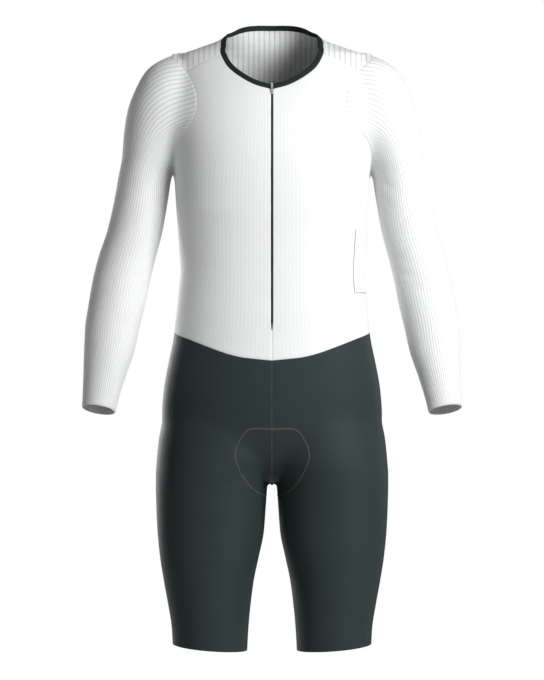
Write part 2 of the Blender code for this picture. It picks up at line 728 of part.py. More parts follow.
def zip_parts():
    """Make the slider between the collar's ends and the tab that swings on its lugs."""
    foot, out, up = zip_frame()
    slider_frame = bpy.data.objects.new("slider_frame", None)
    tab_frame = bpy.data.objects.new("tab_frame", None)
    axes = Matrix((np.array([1, 0, 0]), -out, up)).transposed()
    slider_frame.matrix_world = Matrix.Translation(METRES * foot) @ axes.to_4x4()
    front = -(SLIDER_LIFT + SLIDER_THICK)
    axis = foot + up * AXIS_UP - out * (front - AXIS_OUT)
    tip = middle_line([axis[2] - TAB_LENGTH * TAB_DROP], THROAT_GUESS)[0]
    hang = axis - tip - outward(tip[None])[0] * TAB_CLEARANCE
    hang /= np.linalg.norm(hang)
    tab_axes = Matrix((np.array([1, 0, 0]), np.array([0, hang[2], -hang[1]]), hang)).transposed()
    tab_frame.matrix_world = Matrix.Translation(METRES * axis) @ tab_axes.to_4x4()
    for frame in (slider_frame, tab_frame):
        bpy.context.scene.collection.objects.link(frame)

    half = SLIDER_WIDTH / 2
    slider = block("zip_slider", (-half, front, 0), (half, -SLIDER_LIFT, SLIDER_HEIGHT))
    lug_front = front - AXIS_OUT - PIN_RADIUS - LUG_COVER
    lugs = [
        block("lug_" + name, (x, lug_front, 0), (x + LUG_THICK, front + ROOT, LUG_HEIGHT))
        for name, x in (("left", half - LUG_THICK - SKIP), ("right", -half + SKIP))
    ]
    hole = rod("lug_hole", LUG_HOLE, SLIDER_WIDTH)
    hole.location = METRES * Vector((0, front - AXIS_OUT, AXIS_UP))
    combine(slider, lugs, "UNION")
    combine(slider, [hole], "DIFFERENCE")
    for item in (slider, *lugs, hole):
        item.parent = slider_frame

    tab = rod("zip_pull", PIN_RADIUS, half)
    barrel = rod("tab_barrel", BARREL_RADIUS, BARREL_WIDTH / 2, 16)
    neck, stem_thick = BARREL_WIDTH / 2 - SKIP, TAB_STEM_THICK / 2
    stem = block("tab_stem", (-neck, -stem_thick, -TAB_NECK - ROOT), (neck, stem_thick, 0))
    width, thick = TAB_WIDTH / 2, TAB_THICK / 2
    plate = block("tab_plate", (-width, -thick, -TAB_LENGTH), (width, thick, -TAB_NECK))
    combine(tab, [barrel, stem, plate], "UNION")
    for item in (tab, barrel, stem, plate):
        item.parent = tab_frame


def main():
    """Clear the scene and build every piece of the suit."""
    for item in list(bpy.data.objects):
        bpy.data.objects.remove(item)
    seams = Seams()
    front, shorts, sleeve = front_grid(seams), shorts_grid(seams), sleeve_grid(seams)
    wall("front_left", front, CLOTH)
    wall("front_right", mirrored(front), CLOTH)
    wall("back", back_grid(seams), CLOTH)
    wall("sleeve_left", sleeve, CLOTH, closed=True, material="ribbed_cloth")
    wall("sleeve_right", mirrored(sleeve), CLOTH, closed=True, material="ribbed_cloth")
    wall("shorts_left", shorts, CLOTH, material="dark_cloth")
    wall("shorts_right", mirrored(shorts), CLOTH, material="dark_cloth")
    wall("collar_binding", collar_grid(seams), BINDING_WALL, BINDING_PROUD, material="dark_cloth")
    wall("zip", zip_grid(seams), CLOTH, material="zip_tape")
    wall("side_pocket", pocket_grid(), POCKET_WALL, POCKET_LIFT + POCKET_WALL)
    zip_parts()


main()
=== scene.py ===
# %% [markdown]
# # A cycling skinsuit in its worn shape
# The suit is cloth filled out as if worn, with nobody in it. The frame gives each panel as a plain
# solid. Here each one becomes a thin shell with its ribs, seams and edges, and gets its finish.

import bpy
import numpy as np
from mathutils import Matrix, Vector


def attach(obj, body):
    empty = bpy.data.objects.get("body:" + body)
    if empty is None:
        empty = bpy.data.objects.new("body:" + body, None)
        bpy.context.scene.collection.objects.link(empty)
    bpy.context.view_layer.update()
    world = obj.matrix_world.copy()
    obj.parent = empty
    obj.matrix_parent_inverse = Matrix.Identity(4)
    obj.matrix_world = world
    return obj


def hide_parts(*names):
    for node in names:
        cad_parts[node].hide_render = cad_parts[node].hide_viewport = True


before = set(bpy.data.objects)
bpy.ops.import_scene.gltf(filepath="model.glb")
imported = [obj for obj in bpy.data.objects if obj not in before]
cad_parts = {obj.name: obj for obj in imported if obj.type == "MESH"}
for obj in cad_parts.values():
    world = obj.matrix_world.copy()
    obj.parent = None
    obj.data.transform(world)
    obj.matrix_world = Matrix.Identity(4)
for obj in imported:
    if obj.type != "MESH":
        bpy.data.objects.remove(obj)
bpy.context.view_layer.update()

METRES = 0.001            # shapes are worked out in millimetres
SUIT = "suit"

# %% [markdown]
# ## The form
# All panels lie on one closed surface: a trunk, two arms and two legs. Each limb is a stack of
# rounded sections. It could be sculpted, but tables of sections keep the real sizes in sight, and
# a formula can be read as finely as a panel needs. Rows go from the top down.

# %% Sections of the limbs
TRUNK = (
    # height, inner, outer, front, back, fullness
    (70, -56, 56, -50, 66, 2.0),
    (45, -61, 61, -52, 69, 2.0),
    (30, -68, 68, -54, 71, 2.0),
    (16, -84, 84, -57, 73, 2.0),
    (3, -118, 118, -62, 76, 2.0),
    (-10, -150, 150, -68, 81, 2.1),
    (-35, -163, 163, -79, 91, 2.2),
    (-61, -163, 163, -91, 100, 2.3),
    (-99, -161, 161, -105, 108, 2.4),
    (-138, -159, 159, -114, 111, 2.4),
    (-176, -157, 157, -117, 110, 2.4),
    (-214, -155, 155, -116, 107, 2.4),
    (-253, -153, 153, -113, 103, 2.4),
    (-291, -150, 150, -109, 99, 2.3),
    (-330, -147.5, 147.5, -106, 96, 2.3),
    (-352, -146, 146, -105, 96, 2.3),
    (-387, -149, 149, -105, 98, 2.3),
    (-426, -153, 153, -107, 104, 2.3),
    (-464, -158, 158, -109, 112, 2.3),
    (-502, -166, 166, -111, 120, 2.3),
    (-541, -173, 173, -111, 126, 2.3),
    (-579, -176, 176, -109, 127, 2.2),
    (-610, -171, 171, -104, 122, 2.2),
    (-640, -156, 156, -91, 110, 2.1),
    (-665, -128, 128, -71, 89, 2.0),
    (-682, -88, 88, -46, 62, 2.0),
    (-689, -44, 44, -22, 34, 2.0),
    (-692, -3, 3, -1, 5, 2.0),
)
ARM = (
    # height, inner, outer, front, back, fullness
    (-9, 140, 161, -6, 10, 2.0),
    (-22, 108, 187, -32, 38, 2.0),
    (-35, 104, 202, -43, 48, 2.0),
    (-61, 106, 217, -54, 58, 2.0),
    (-99, 116, 231, -59, 62, 2.0),
    (-138, 130, 237, -57, 60, 2.0),
    (-176, 150, 240, -52, 56, 2.0),
    (-200, 161, 245, -48, 54, 2.0),
    (-234, 166, 251, -44, 52, 2.0),
    (-291, 176, 264, -41, 50, 2.0),
    (-330, 186, 277, -44, 49, 2.0),
    (-368, 195, 286, -53, 40, 2.0),
    (-406, 202, 292, -63, 29, 2.0),
    (-445, 211, 297, -72, 16, 2.0),
    (-483, 219, 298, -79, 1, 2.0),
    (-522, 232, 298.5, -84, -14, 2.0),
    (-560, 243, 299, -91, -31, 2.0),
    (-610, 254, 308, -104, -48, 2.0),
)
LEG = (
    # height, inner, outer, front, back, fullness
    (-560, -70, 160, -90, 108, 2.1),
    (-618, -42, 180.5, -101, 118, 2.1),
    (-656, -16, 184.5, -104, 115, 2.1),
    (-680, 2, 186, -103, 110, 2.1),
    (-694, 7, 186, -102, 106, 2.1),
    (-733, 10, 185, -98, 98, 2.1),
    (-771, 13, 183, -94, 91, 2.1),
    (-810, 21, 179, -90, 84, 2.1),
    (-848, 29, 173, -86, 77, 2.0),
    (-886, 34, 166, -82, 70, 2.0),
    (-925, 37.6, 160, -78, 64, 2.0),
    (-990, 41, 157, -73, 58, 2.0),
)
SOFTNESS = 3.0             # how widely two limbs run together
SHOULDER_SOFTNESS = 12.0   # more of it, round the shoulder
SHOULDER_HEIGHT, SHOULDER_SPREAD = -120.0, 50.0
NEVER_ZERO = 1e-9
STEADY = 0.02
print("form:", len(TRUNK), "trunk,", len(ARM), "arm and", len(LEG), "leg sections")

# %% Read a table as smooth curves


def slopes(heights, values):
    """Slope at a row: the harmonic mean of the steps beside it, or none where they disagree."""
    steps = np.diff(values) / np.diff(heights)
    inner = np.zeros(len(values))
    same_way = steps[:-1] * steps[1:] > 0
    before, after = steps[:-1][same_way], steps[1:][same_way]
    inner[1:-1][same_way] = 2 * before * after / (before + after)
    inner[0], inner[-1] = steps[0], steps[-1]
    return inner


def read_table(table, height):
    """Each column at the given heights: cubic curves with those slopes at the rows."""
    rows = np.array(table, float)[::-1]
    known = rows[:, 0]
    height = np.clip(height, known[0], known[-1])
    row = np.clip(np.searchsorted(known, height) - 1, 0, len(known) - 2)
    span = known[row + 1] - known[row]
    t = (height - known[row]) / span
    columns = []
    for values in rows[:, 1:].T:
        tilt = slopes(known, values)
        columns.append(
            (1 + 2 * t) * (1 - t) ** 2 * values[row] + t * (1 - t) ** 2 * span * tilt[row]
            + t ** 2 * (3 - 2 * t) * values[row + 1] + t ** 2 * (t - 1) * span * tilt[row + 1]
        )
    return columns


waist = [float(value) for value in read_table(TRUNK, np.array(-352.0))]
print("waist section: half width", waist[1], "front", waist[2], "back", waist[3])

# %% Distance from the form


def limb_level(points, table, side):
    """How far points lie outside a limb: their distance from its axis, times 1 - 1 / share.

    Share is 1 on the section's outline: the root of the sum of both half-size shares, each
    raised to the section's fullness.
    """
    x, y, z = side * points[..., 0], points[..., 1], points[..., 2]
    inner, outer, front, back, fullness = read_table(table, z)
    across, deep = x - (inner + outer) / 2, y - (front + back) / 2
    half_width, half_depth = (outer - inner) / 2, (back - front) / 2
    share = (
        np.abs(across / half_width) ** fullness + np.abs(deep / half_depth) ** fullness + NEVER_ZERO
    ) ** (1 / fullness)
    past_end = np.maximum(table[-1][0] - z, 0) + np.maximum(z - table[0][0], 0)
    return np.hypot(across, deep) * (1 - 1 / share) + past_end


def form_level(points):
    """Soft minimum of the limbs' levels: minus the log of the sum of exp(-level), scaled."""
    from_shoulder = (points[..., 2] - SHOULDER_HEIGHT) / SHOULDER_SPREAD
    softness = SOFTNESS + SHOULDER_SOFTNESS * np.exp(-from_shoulder ** 2)
    level = -limb_level(points, TRUNK, 1) / softness
    for table in (ARM, LEG):
        for side in (1, -1):
            level = np.logaddexp(level, -limb_level(points, table, side) / softness)
    return -softness * level


def form_gradient(points, reach=0.4):
    """Change of the level along each axis, from a point a little before and one after."""
    change = [
        form_level(points + reach * axis) - form_level(points - reach * axis) for axis in np.eye(3)
    ]
    return np.stack(change, axis=-1) / (2 * reach)


def outward(points):
    """Unit direction out of the form."""
    gradient = form_gradient(points)
    return gradient / np.linalg.norm(gradient, axis=-1, keepdims=True)


def settle(points, nearest_x=None, steps=14, longest=18.0):
    """Move points onto the form: each step goes back along the gradient by the level."""
    points = np.array(points, float)
    for _ in range(steps):
        gradient = form_gradient(points)
        push = form_level(points)[..., None] * gradient
        push /= np.sum(gradient ** 2, axis=-1, keepdims=True) + STEADY
        length = np.linalg.norm(push, axis=-1, keepdims=True)
        points = points - push * np.minimum(1, longest / np.maximum(length, NEVER_ZERO))
        if nearest_x is not None:
            points[..., 0] = np.maximum(points[..., 0], nearest_x)
    return points


print("level 1 m in front of the chest:", float(form_level(np.array([0.0, -1000.0, -200.0]))))

# %% [markdown]
# ## Seams
# A seam is a smooth line through a few guide points, settled on the form and cut into parts. The
# left half is worked out and the right mirrors it. The parts match the frame's solids, so that
# each shell lies where its solid does.

# %% Guides of the wearer's left half
NECK_FRONT = ((0, -95, -71), (32, -91, -61), (54, -82, -47), (73, -68, -30), (80.5, -56, -13))
NECK_BACK = (
    (80.5, -56, -13), (81, -42, 3), (79.5, -8, 18), (73, 25, 25), (58, 46, 32), (32, 62, 37),
    (0, 70, 38),
)
SHOULDER = ((80.5, -56, -13), (97, -55, -19), (118, -53, -28), (138, -52, -37))
ARMHOLE_FRONT = (
    (138, -52, -37), (127, -72, -58), (121.5, -85, -80), (122, -90, -94), (127, -90, -109),
    (138, -84, -127), (149, -72, -142), (156, -54, -157), (159, -28, -179), (158, 0, -197),
)
ARMHOLE_BACK = (
    (158, 0, -197), (159, 28, -181), (154, 56, -158), (143, 78, -128), (135, 86, -90),
    (140, 76, -52), (154, 42, -22), (164, 2, -12), (152, -32, -24), (138, -52, -37),
)
SIDE = ((156, 0, -451), (149, 0, -387), (146, 0, -345), (152, 0, -262), (158, 0, -197))
WAIST_FRONT = ((0, -111, -496), (53, -106, -490), (91, -88, -478), (130, -58, -462), (156, 0, -451))
WAIST_BACK = ((156, 0, -451), (135, 60, -448), (80, 96, -444), (0, 108, -442))
FORK_FRONT = (
    (0, -111, -496), (0, -111, -541), (0, -108, -582), (0, -96, -630), (0, -68, -668),
    (0, -34, -688), (0, 4, -694),
)
FORK_BACK = (
    (0, 108, -442), (0, 122, -510), (0, 127, -570), (0, 116, -626), (0, 88, -666),
    (0, 48, -688), (0, 4, -694),
)
INSEAM = ((0, 4, -694), (8, 2, -712), (12, 0, -760), (24, -3, -828), (35, -6, -892), (41, -8, -959))
HEM_OUTER, HEM_INNER = -949.0, -959.0
CENTRE_PARTS, NECK_FRONT_PARTS, NECK_BACK_PARTS = 12, 4, 9
SIDE_PARTS, ARM_FRONT_PARTS, ARM_BACK_PARTS = 8, 8, 10
SHOULDER_PARTS, FORK_PARTS, INSEAM_PARTS = 9, 8, 7
FORK_CROWDING = 1.5
ZIP_WIDTH, ZIP_END_WIDTH = 3.2, 1.0
ZIP_FOOT, ZIP_TAPER = -449.0, 13.0
ZIP_GAP = 0.1              # between the zip's edge and the cloth
CHEST_FRONT = -90.0        # depth past which a front's inner edge lies beside the zip
MIDDLE = 0.02              # what a seam at the middle plane leaves to each side
FRONT_GUESS, BACK_GUESS = -108.0, 95.0
print("seams of the left half:", 9, "and the middle lines")

# %% Draw the seams


def curve_rows(grid, times, corners=(), closed=False):
    """Rows between rows: a cubic through each four, weighted by t, with ends drawn on straight.

    The curve breaks at corner rows, and runs round where the grid is closed.
    """
    stops = [0, *corners, len(grid) - 1]
    runs = [grid[low:high + 1] for low, high in zip(stops, stops[1:])]
    padded = [
        np.concatenate((2 * run[:1] - run[1:2], run, 2 * run[-1:] - run[-2:-1])) for run in runs
    ]
    if closed:
        padded = [np.concatenate((grid[-1:], grid, grid[:2]))]
    t = np.linspace(0, 1, times, endpoint=False).reshape((1, times) + (1,) * (grid.ndim - 1))
    lines = []
    for run in padded:
        a, b, c, d = (run[k:len(run) - 3 + k][:, None] for k in range(4))
        line = 0.5 * (
            2 * b + (c - a) * t + (2 * a - 5 * b + 4 * c - d) * t ** 2
            + (3 * b - a - 3 * c + d) * t ** 3
        )
        lines.append(line.reshape((-1,) + grid.shape[1:]))
    return np.concatenate(lines if closed else lines + [grid[-1:]])


def even_parts(line, parts, crowding=1.0):
    """Points that cut a line into parts of one length, or shorter toward its end if crowded."""
    steps = np.linalg.norm(np.diff(line, axis=0), axis=1)
    run = np.concatenate(([0], np.cumsum(steps)))
    places = run[-1] * (1 - np.linspace(1, 0, parts + 1) ** crowding)
    return np.stack([np.interp(places, run, line[:, axis]) for axis in range(3)], axis=1)


def seam(guides, parts, crowding=1.0):
    """A smooth line through the guides, settled, cut into parts and settled again."""
    return settle(even_parts(settle(curve_rows(np.array(guides, float), 12)), parts, crowding))


def middle_line(heights, guess_y):
    """The form's line in the middle plane, with a point at each height."""
    heights = np.array(heights, float)
    line = np.stack((np.zeros_like(heights), np.full_like(heights, guess_y), heights), axis=1)
    for _ in range(3):
        line = settle(line)
        line[:, 2], line[:, 0] = heights, 0
    return line


def join(*lines):
    """Lines that meet end to end, as one."""
    return np.vstack([lines[0]] + [line[1:] for line in lines[1:]])


upper = np.linspace(ZIP_FOOT + ZIP_TAPER, NECK_FRONT[0][2], CENTRE_PARTS - 2)
waist_low = WAIST_FRONT[0][2]
centre = middle_line([waist_low, (waist_low + ZIP_FOOT) / 2, ZIP_FOOT, *upper], FRONT_GUESS)
neck_front = seam(NECK_FRONT, NECK_FRONT_PARTS)
neck_front[0] = centre[-1]
neck_back = seam(NECK_BACK, NECK_BACK_PARTS)
neck_back[-1, 0], neck_back[0] = 0, neck_front[-1]
shoulder = seam(SHOULDER, SHOULDER_PARTS)
shoulder[0] = neck_front[-1]
arm_front = seam(ARMHOLE_FRONT, ARM_FRONT_PARTS)
arm_front[0] = shoulder[-1]
arm_back = seam(ARMHOLE_BACK, ARM_BACK_PARTS)
arm_back[0], arm_back[-1] = arm_front[-1], shoulder[-1]
side = seam(SIDE, SIDE_PARTS)
side[-1] = arm_front[-1]
waist_front = seam(WAIST_FRONT, SHOULDER_PARTS)
waist_front[0], waist_front[-1] = centre[0], side[0]
waist_back = seam(WAIST_BACK, NECK_BACK_PARTS)
waist_back[0], waist_back[-1, 0] = side[0], 0
fork_front = seam(FORK_FRONT, FORK_PARTS, FORK_CROWDING)
fork_front[:, 0], fork_front[0] = 0, centre[0]
fork_back = seam(FORK_BACK, FORK_PARTS, FORK_CROWDING)
fork_back[:, 0], fork_back[0], fork_back[-1] = 0, waist_back[-1], fork_front[-1]
inseam = settle(even_parts(seam(INSEAM, INSEAM_PARTS)[::-1], INSEAM_PARTS, FORK_CROWDING))[::-1]
inseam[0] = fork_front[-1]
print("front opening drawn over", round(float(centre[-1, 2] - centre[0, 2])), "mm")

# %% [markdown]
# ## Panels as grids
# A panel is stretched between its four seams like a sail: each inner point comes from the
# points opposite it on the edges. It is then settled on the form. This is a Coons patch, which
# needs no sculpting and shares its edges exactly with its neighbours.

# %% Stretch and settle a panel
EVENING_PASSES, EVENING = 3, 0.5


def stretch(left, right, bottom, top, bend_from=1.0):
    """Side lines mixed across plus end lines mixed up, less the four corners mixed both ways."""
    v = np.minimum(1, np.linspace(0, 1, len(left)) / bend_from)[:, None, None]
    u = np.linspace(0, 1, len(bottom))[None, :, None]
    sides = (1 - u) * left[:, None] + u * right[:, None]
    ends = (1 - v) * bottom[None] + v * top[None]
    corners = (
        (1 - u) * (1 - v) * bottom[0] + u * (1 - v) * bottom[-1]
        + (1 - u) * v * top[0] + u * v * top[-1]
    )
    return sides + ends - corners


def lay(grid, nearest_x=None):
    """Settle a grid's inner points, moving each halfway to its neighbours' mean in between."""
    grid = grid.copy()
    grid[1:-1, 1:-1] = settle(grid[1:-1, 1:-1], nearest_x)
    for _ in range(EVENING_PASSES):
        around = (grid[:-2, 1:-1] + grid[2:, 1:-1] + grid[1:-1, :-2] + grid[1:-1, 2:]) / 4
        inner = grid[1:-1, 1:-1] + EVENING * (around - grid[1:-1, 1:-1])
        grid[1:-1, 1:-1] = settle(inner, nearest_x, steps=2)
    grid[1:-1, 1:-1] = settle(grid[1:-1, 1:-1], nearest_x, steps=6)
    return grid


def mirrored(grid):
    """The same grid on the wearer's other side."""
    return grid * np.array([-1, 1, 1])


def edge_row(edge, inside, reach):
    """A row that far inside an edge, toward the next row."""
    toward = inside - edge
    return edge + reach * toward / np.linalg.norm(toward, axis=-1, keepdims=True)


EDGE_REACH = 1.2           # the cloth rolls into its seam over this


def close_rows(grid):
    """Add a row just inside the first and the last."""
    low = edge_row(grid[0], grid[1], EDGE_REACH)
    high = edge_row(grid[-1], grid[-2], EDGE_REACH)
    return np.concatenate((grid[:1], low[None], grid[1:-1], high[None], grid[-1:]))


def refine(grid, times, row_corners=(), column_corners=(), closed=False, nearest_x=None):
    """A finer grid: curves through rows, then columns, settled, with rows added at the edges."""
    fine = curve_rows(grid, times[0], row_corners)
    fine = curve_rows(fine.swapaxes(0, 1), times[1], column_corners, closed).swapaxes(0, 1)
    fine = close_rows(settle(fine, nearest_x, steps=2))
    if not closed:
        fine = close_rows(fine.swapaxes(0, 1)).swapaxes(0, 1)
    return fine


def zip_half(heights, extra):
    """Half the zip's width: it narrows evenly to its end width, and is a closed seam below."""
    share = np.clip((heights - ZIP_FOOT) / ZIP_TAPER, 0, 1)
    width = (ZIP_END_WIDTH + (ZIP_WIDTH - ZIP_END_WIDTH) * share) / 2 + extra
    return np.where(heights < ZIP_FOOT - NEVER_ZERO, MIDDLE, width)


front_left = join(centre, neck_front)
front_right = join(side, arm_front[::-1])
front_coarse = lay(stretch(front_left, front_right, waist_front, shoulder), MIDDLE)
front_fine = refine(front_coarse, (6, 8), (SIDE_PARTS, CENTRE_PARTS), nearest_x=MIDDLE)
beside_zip = front_fine[:, 0, 2] < centre[-1, 2] + NEVER_ZERO
beside_zip &= front_fine[:, 0, 1] < CHEST_FRONT
front_fine[beside_zip, 0, 0] = zip_half(front_fine[beside_zip, 0, 2], ZIP_GAP)
front_fine[beside_zip, 1, 0] = front_fine[beside_zip, 0, 0] + EDGE_REACH
print("front panel:", front_fine.shape[0], "x", front_fine.shape[1], "points")

# %% The back
# Its rows close up toward the neck, as the shoulder's do, and its yoke settles from above.
BACK_AT_ARMPITS, BACK_AT_SHOULDERS = -190.0, -62.0
BACK_BEND_FROM = 0.62
SHOULDER_LIFT, NECK_FADE = 38.0, 0.1
middle = middle_line([
    *np.linspace(WAIST_BACK[-1][2], BACK_AT_ARMPITS, SIDE_PARTS + 1),
    *np.linspace(BACK_AT_ARMPITS, BACK_AT_SHOULDERS, ARM_BACK_PARTS + 1)[1:],
    *np.linspace(BACK_AT_SHOULDERS, NECK_BACK[-1][2], SHOULDER_PARTS + 1)[1:],
], BACK_GUESS)
middle[0], middle[-1] = waist_back[-1], neck_back[-1]
back_edge = join(side, arm_back, shoulder[::-1])
guess = stretch(middle, back_edge, waist_back[::-1], neck_back[::-1], BACK_BEND_FROM)
rows_below_neck = np.arange(SHOULDER_PARTS + 2, 0, -1)
fade = np.minimum(1, rows_below_neck / SHOULDER_PARTS - NECK_FADE)[:, None]
toward_shoulder = np.linspace(0, 1, guess.shape[1])[1:-1] ** 2
guess[-len(fade) - 1:-1, 1:-1, 2] += SHOULDER_LIFT * fade * toward_shoulder
half_back = lay(guess, 0)
back_coarse = np.concatenate((mirrored(half_back[:, :0:-1]), half_back), axis=1)
BACK_RIBS, RIB_STEPS = 54, 6
back_fine = refine(
    back_coarse, (4, BACK_RIBS * RIB_STEPS // (back_coarse.shape[1] - 1)),
    (SIDE_PARTS, SIDE_PARTS + ARM_BACK_PARTS),
)
print("back panel:", back_fine.shape[0], "x", back_fine.shape[1], "points")

# %% [markdown]
# ## Sleeves
# A sleeve is rings: the first is the armhole, the next fan out over the shoulder's ball, and the
# rest run square to the arm down to the cuff. Columns then follow the arm, as the real ribs do.

# %% The sleeve's rings
ARMHOLE_MIDDLE, SHOULDER_DEPTH = -128.0, 2.0
SHOULDER_FAN = (
    # inner x, inner height, outer x, outer height, half depth
    (158, -197, 164, -11, 78),
    (160.5, -207, 194, -29, 74),
    (163, -218, 216, -60, 68),
    (165, -230, 230, -102, 61),
    (167, -245, 240, -165, 54),
    (170, -262, 253, -240, 48),
)
ARM_RINGS = (
    # height, how its plane climbs outward and backward
    (-292, (0.16, 0.0)), (-330, (0.13, -0.06)), (-368, (0.13, -0.15)), (-406, (0.14, -0.22)),
    (-445, (0.16, -0.28)), (-483, (0.17, -0.3)), (-518, (0.18, -0.3)), (-549, (0.18, -0.3)),
)
CUFF_MIDDLE, CUFF_RISE = (272.5, -62, -575), (0.18, -0.30)


def arm_ring(height, angles, climb):
    """An ellipse of the arm's section, tilted by its plane's climb, and settled."""
    inner, outer, front, back, _ = read_table(ARM, np.array(float(height)))
    across, deep = (outer - inner) / 2 * np.cos(angles), -(back - front) / 2 * np.sin(angles)
    rise = climb[0] * across + climb[1] * deep
    return settle(
        np.stack(((inner + outer) / 2 + across, (front + back) / 2 + deep, height + rise), axis=1)
    )


def cuff_ring(angles):
    """The sleeve's end: settled in turn on the form and on the cuff's plane."""
    ring = arm_ring(CUFF_MIDDLE[2], angles, CUFF_RISE)
    middle, rise = np.array(CUFF_MIDDLE[:2]), np.array(CUFF_RISE)
    for _ in range(4):
        ring[:, 2] = CUFF_MIDDLE[2] + (ring[:, :2] - middle) @ rise
        ring = settle(ring, steps=3)
    return ring


armhole = np.vstack((arm_front[:-1], arm_back[:-1]))
turn = np.unwrap(np.arctan2(-armhole[:, 1], armhole[:, 2] - ARMHOLE_MIDDLE))
even = turn[0] + 2 * np.pi * np.arange(len(armhole)) / len(armhole)
rings = []
for step, (inner_x, inner_z, outer_x, outer_z, half_depth) in enumerate(SHOULDER_FAN):
    share = step / (len(SHOULDER_FAN) - 1)
    angles = turn + share * (even - turn)
    reach = np.cos(angles)
    ring = np.stack((
        (inner_x + outer_x) / 2 + reach * (outer_x - inner_x) / 2,
        SHOULDER_DEPTH - half_depth * np.sin(angles),
        (inner_z + outer_z) / 2 + reach * (outer_z - inner_z) / 2,
    ), axis=1)
    if step == 0:
        saddle = armhole - ring
    else:
        rings.append(settle(ring + (1 - share) ** 2 * saddle))
rings += [arm_ring(height, even, climb) for height, climb in ARM_RINGS] + [cuff_ring(even)]
SLEEVE_RIBS = 60
sleeve_times = SLEEVE_RIBS * RIB_STEPS // len(armhole)
sleeve_fine = refine(np.stack([armhole] + rings), (7, sleeve_times), closed=True)
print("sleeve:", sleeve_fine.shape[0], "rings of", sleeve_fine.shape[1], "points")

# %% The shorts
# Each half is one panel round the leg, from the fork seam in front to the fork seam behind.
hem_parts = SHOULDER_PARTS + NECK_BACK_PARTS
inner, outer, front, back, _ = read_table(LEG, np.array((HEM_OUTER + HEM_INNER) / 2))
hem_turn = np.linspace(0, 2 * np.pi, hem_parts + 1)
hem_height = HEM_INNER + (HEM_OUTER - HEM_INNER) * (1 - np.cos(hem_turn)) / 2
hem = np.stack((
    (inner + outer) / 2 - np.cos(hem_turn) * (outer - inner) / 2,
    (front + back) / 2 - np.sin(hem_turn) * (back - front) / 2,
    hem_height,
), axis=1)
hem = even_parts(settle(hem), hem_parts)
for _ in range(3):
    hem = settle(hem, steps=4)
    hem[:, 2] = hem_height
leg_front, leg_back = join(fork_front, inseam), join(fork_back, inseam)
leg_front[-1] = leg_back[-1] = hem[0] = hem[-1] = (hem[0] + hem[-1]) / 2
shorts_coarse = lay(
    stretch(leg_front[::-1], leg_back[::-1], hem, join(waist_front, waist_back)), MIDDLE
)
shorts_fine = refine(shorts_coarse, (6, 7), (INSEAM_PARTS,), (SHOULDER_PARTS,), nearest_x=MIDDLE)
print("shorts half:", shorts_fine.shape[0], "x", shorts_fine.shape[1], "points")

# %% [markdown]
# ## Cloth shells
# Cloth is a thin closed shell: an outer skin, the same skin a wall inward, and a rim. Blender's
# Solidify could add the wall, but here it is worked out, so that each side has its own ribs and
# the edge row can roll into its seam.

# %% Make a mesh from arrays


def cell_corners(rows, columns, closed):
    """Corner numbers of each cell, and their (column, row) places with no jump where it closes."""
    row = np.arange(rows - 1)[:, None]
    column = np.arange(columns if closed else columns - 1)[None]
    after = (column + 1) % columns
    a, b = row * columns + column, row * columns + after
    cells = np.stack((a, b, b + columns, a + columns), axis=-1).reshape(-1, 4)
    row, column = np.broadcast_arrays(row, column)
    across = np.stack((column, column + 1, column + 1, column), axis=-1).reshape(-1, 4)
    up = np.stack((row, row, row + 1, row + 1), axis=-1).reshape(-1, 4)
    return cells, across, up


def rim_loops(rows, columns, closed):
    """Corner numbers along the border, in the cells' own direction, each loop's start repeated."""
    number = np.arange(rows * columns).reshape(rows, columns)
    if closed:
        low, high = number[0], number[-1, ::-1]
        return [np.append(low, low[0]), np.append(high, high[0])]
    around = np.concatenate((number[0, :-1], number[:-1, -1], number[-1, :0:-1], number[:0:-1, 0]))
    return [np.append(around, around[0])]


def make_mesh(name, points, cells, places, material, smooth_below=1.0):
    """A mesh object from points in millimetres, cells, and each cell corner's place in its map."""
    mesh = bpy.data.meshes.new(name)
    mesh.from_pydata((METRES * points).tolist(), [], cells.tolist())
    layer = mesh.uv_layers.new(name="cloth")
    layer.data.foreach_set("uv", np.asarray(places, np.float32).ravel())
    mesh.shade_smooth()
    mesh.set_sharp_from_angle(angle=smooth_below)
    mesh.materials.append(material)
    piece = bpy.data.objects.new(name, mesh)
    bpy.context.scene.collection.objects.link(piece)
    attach(piece, SUIT)
    return piece


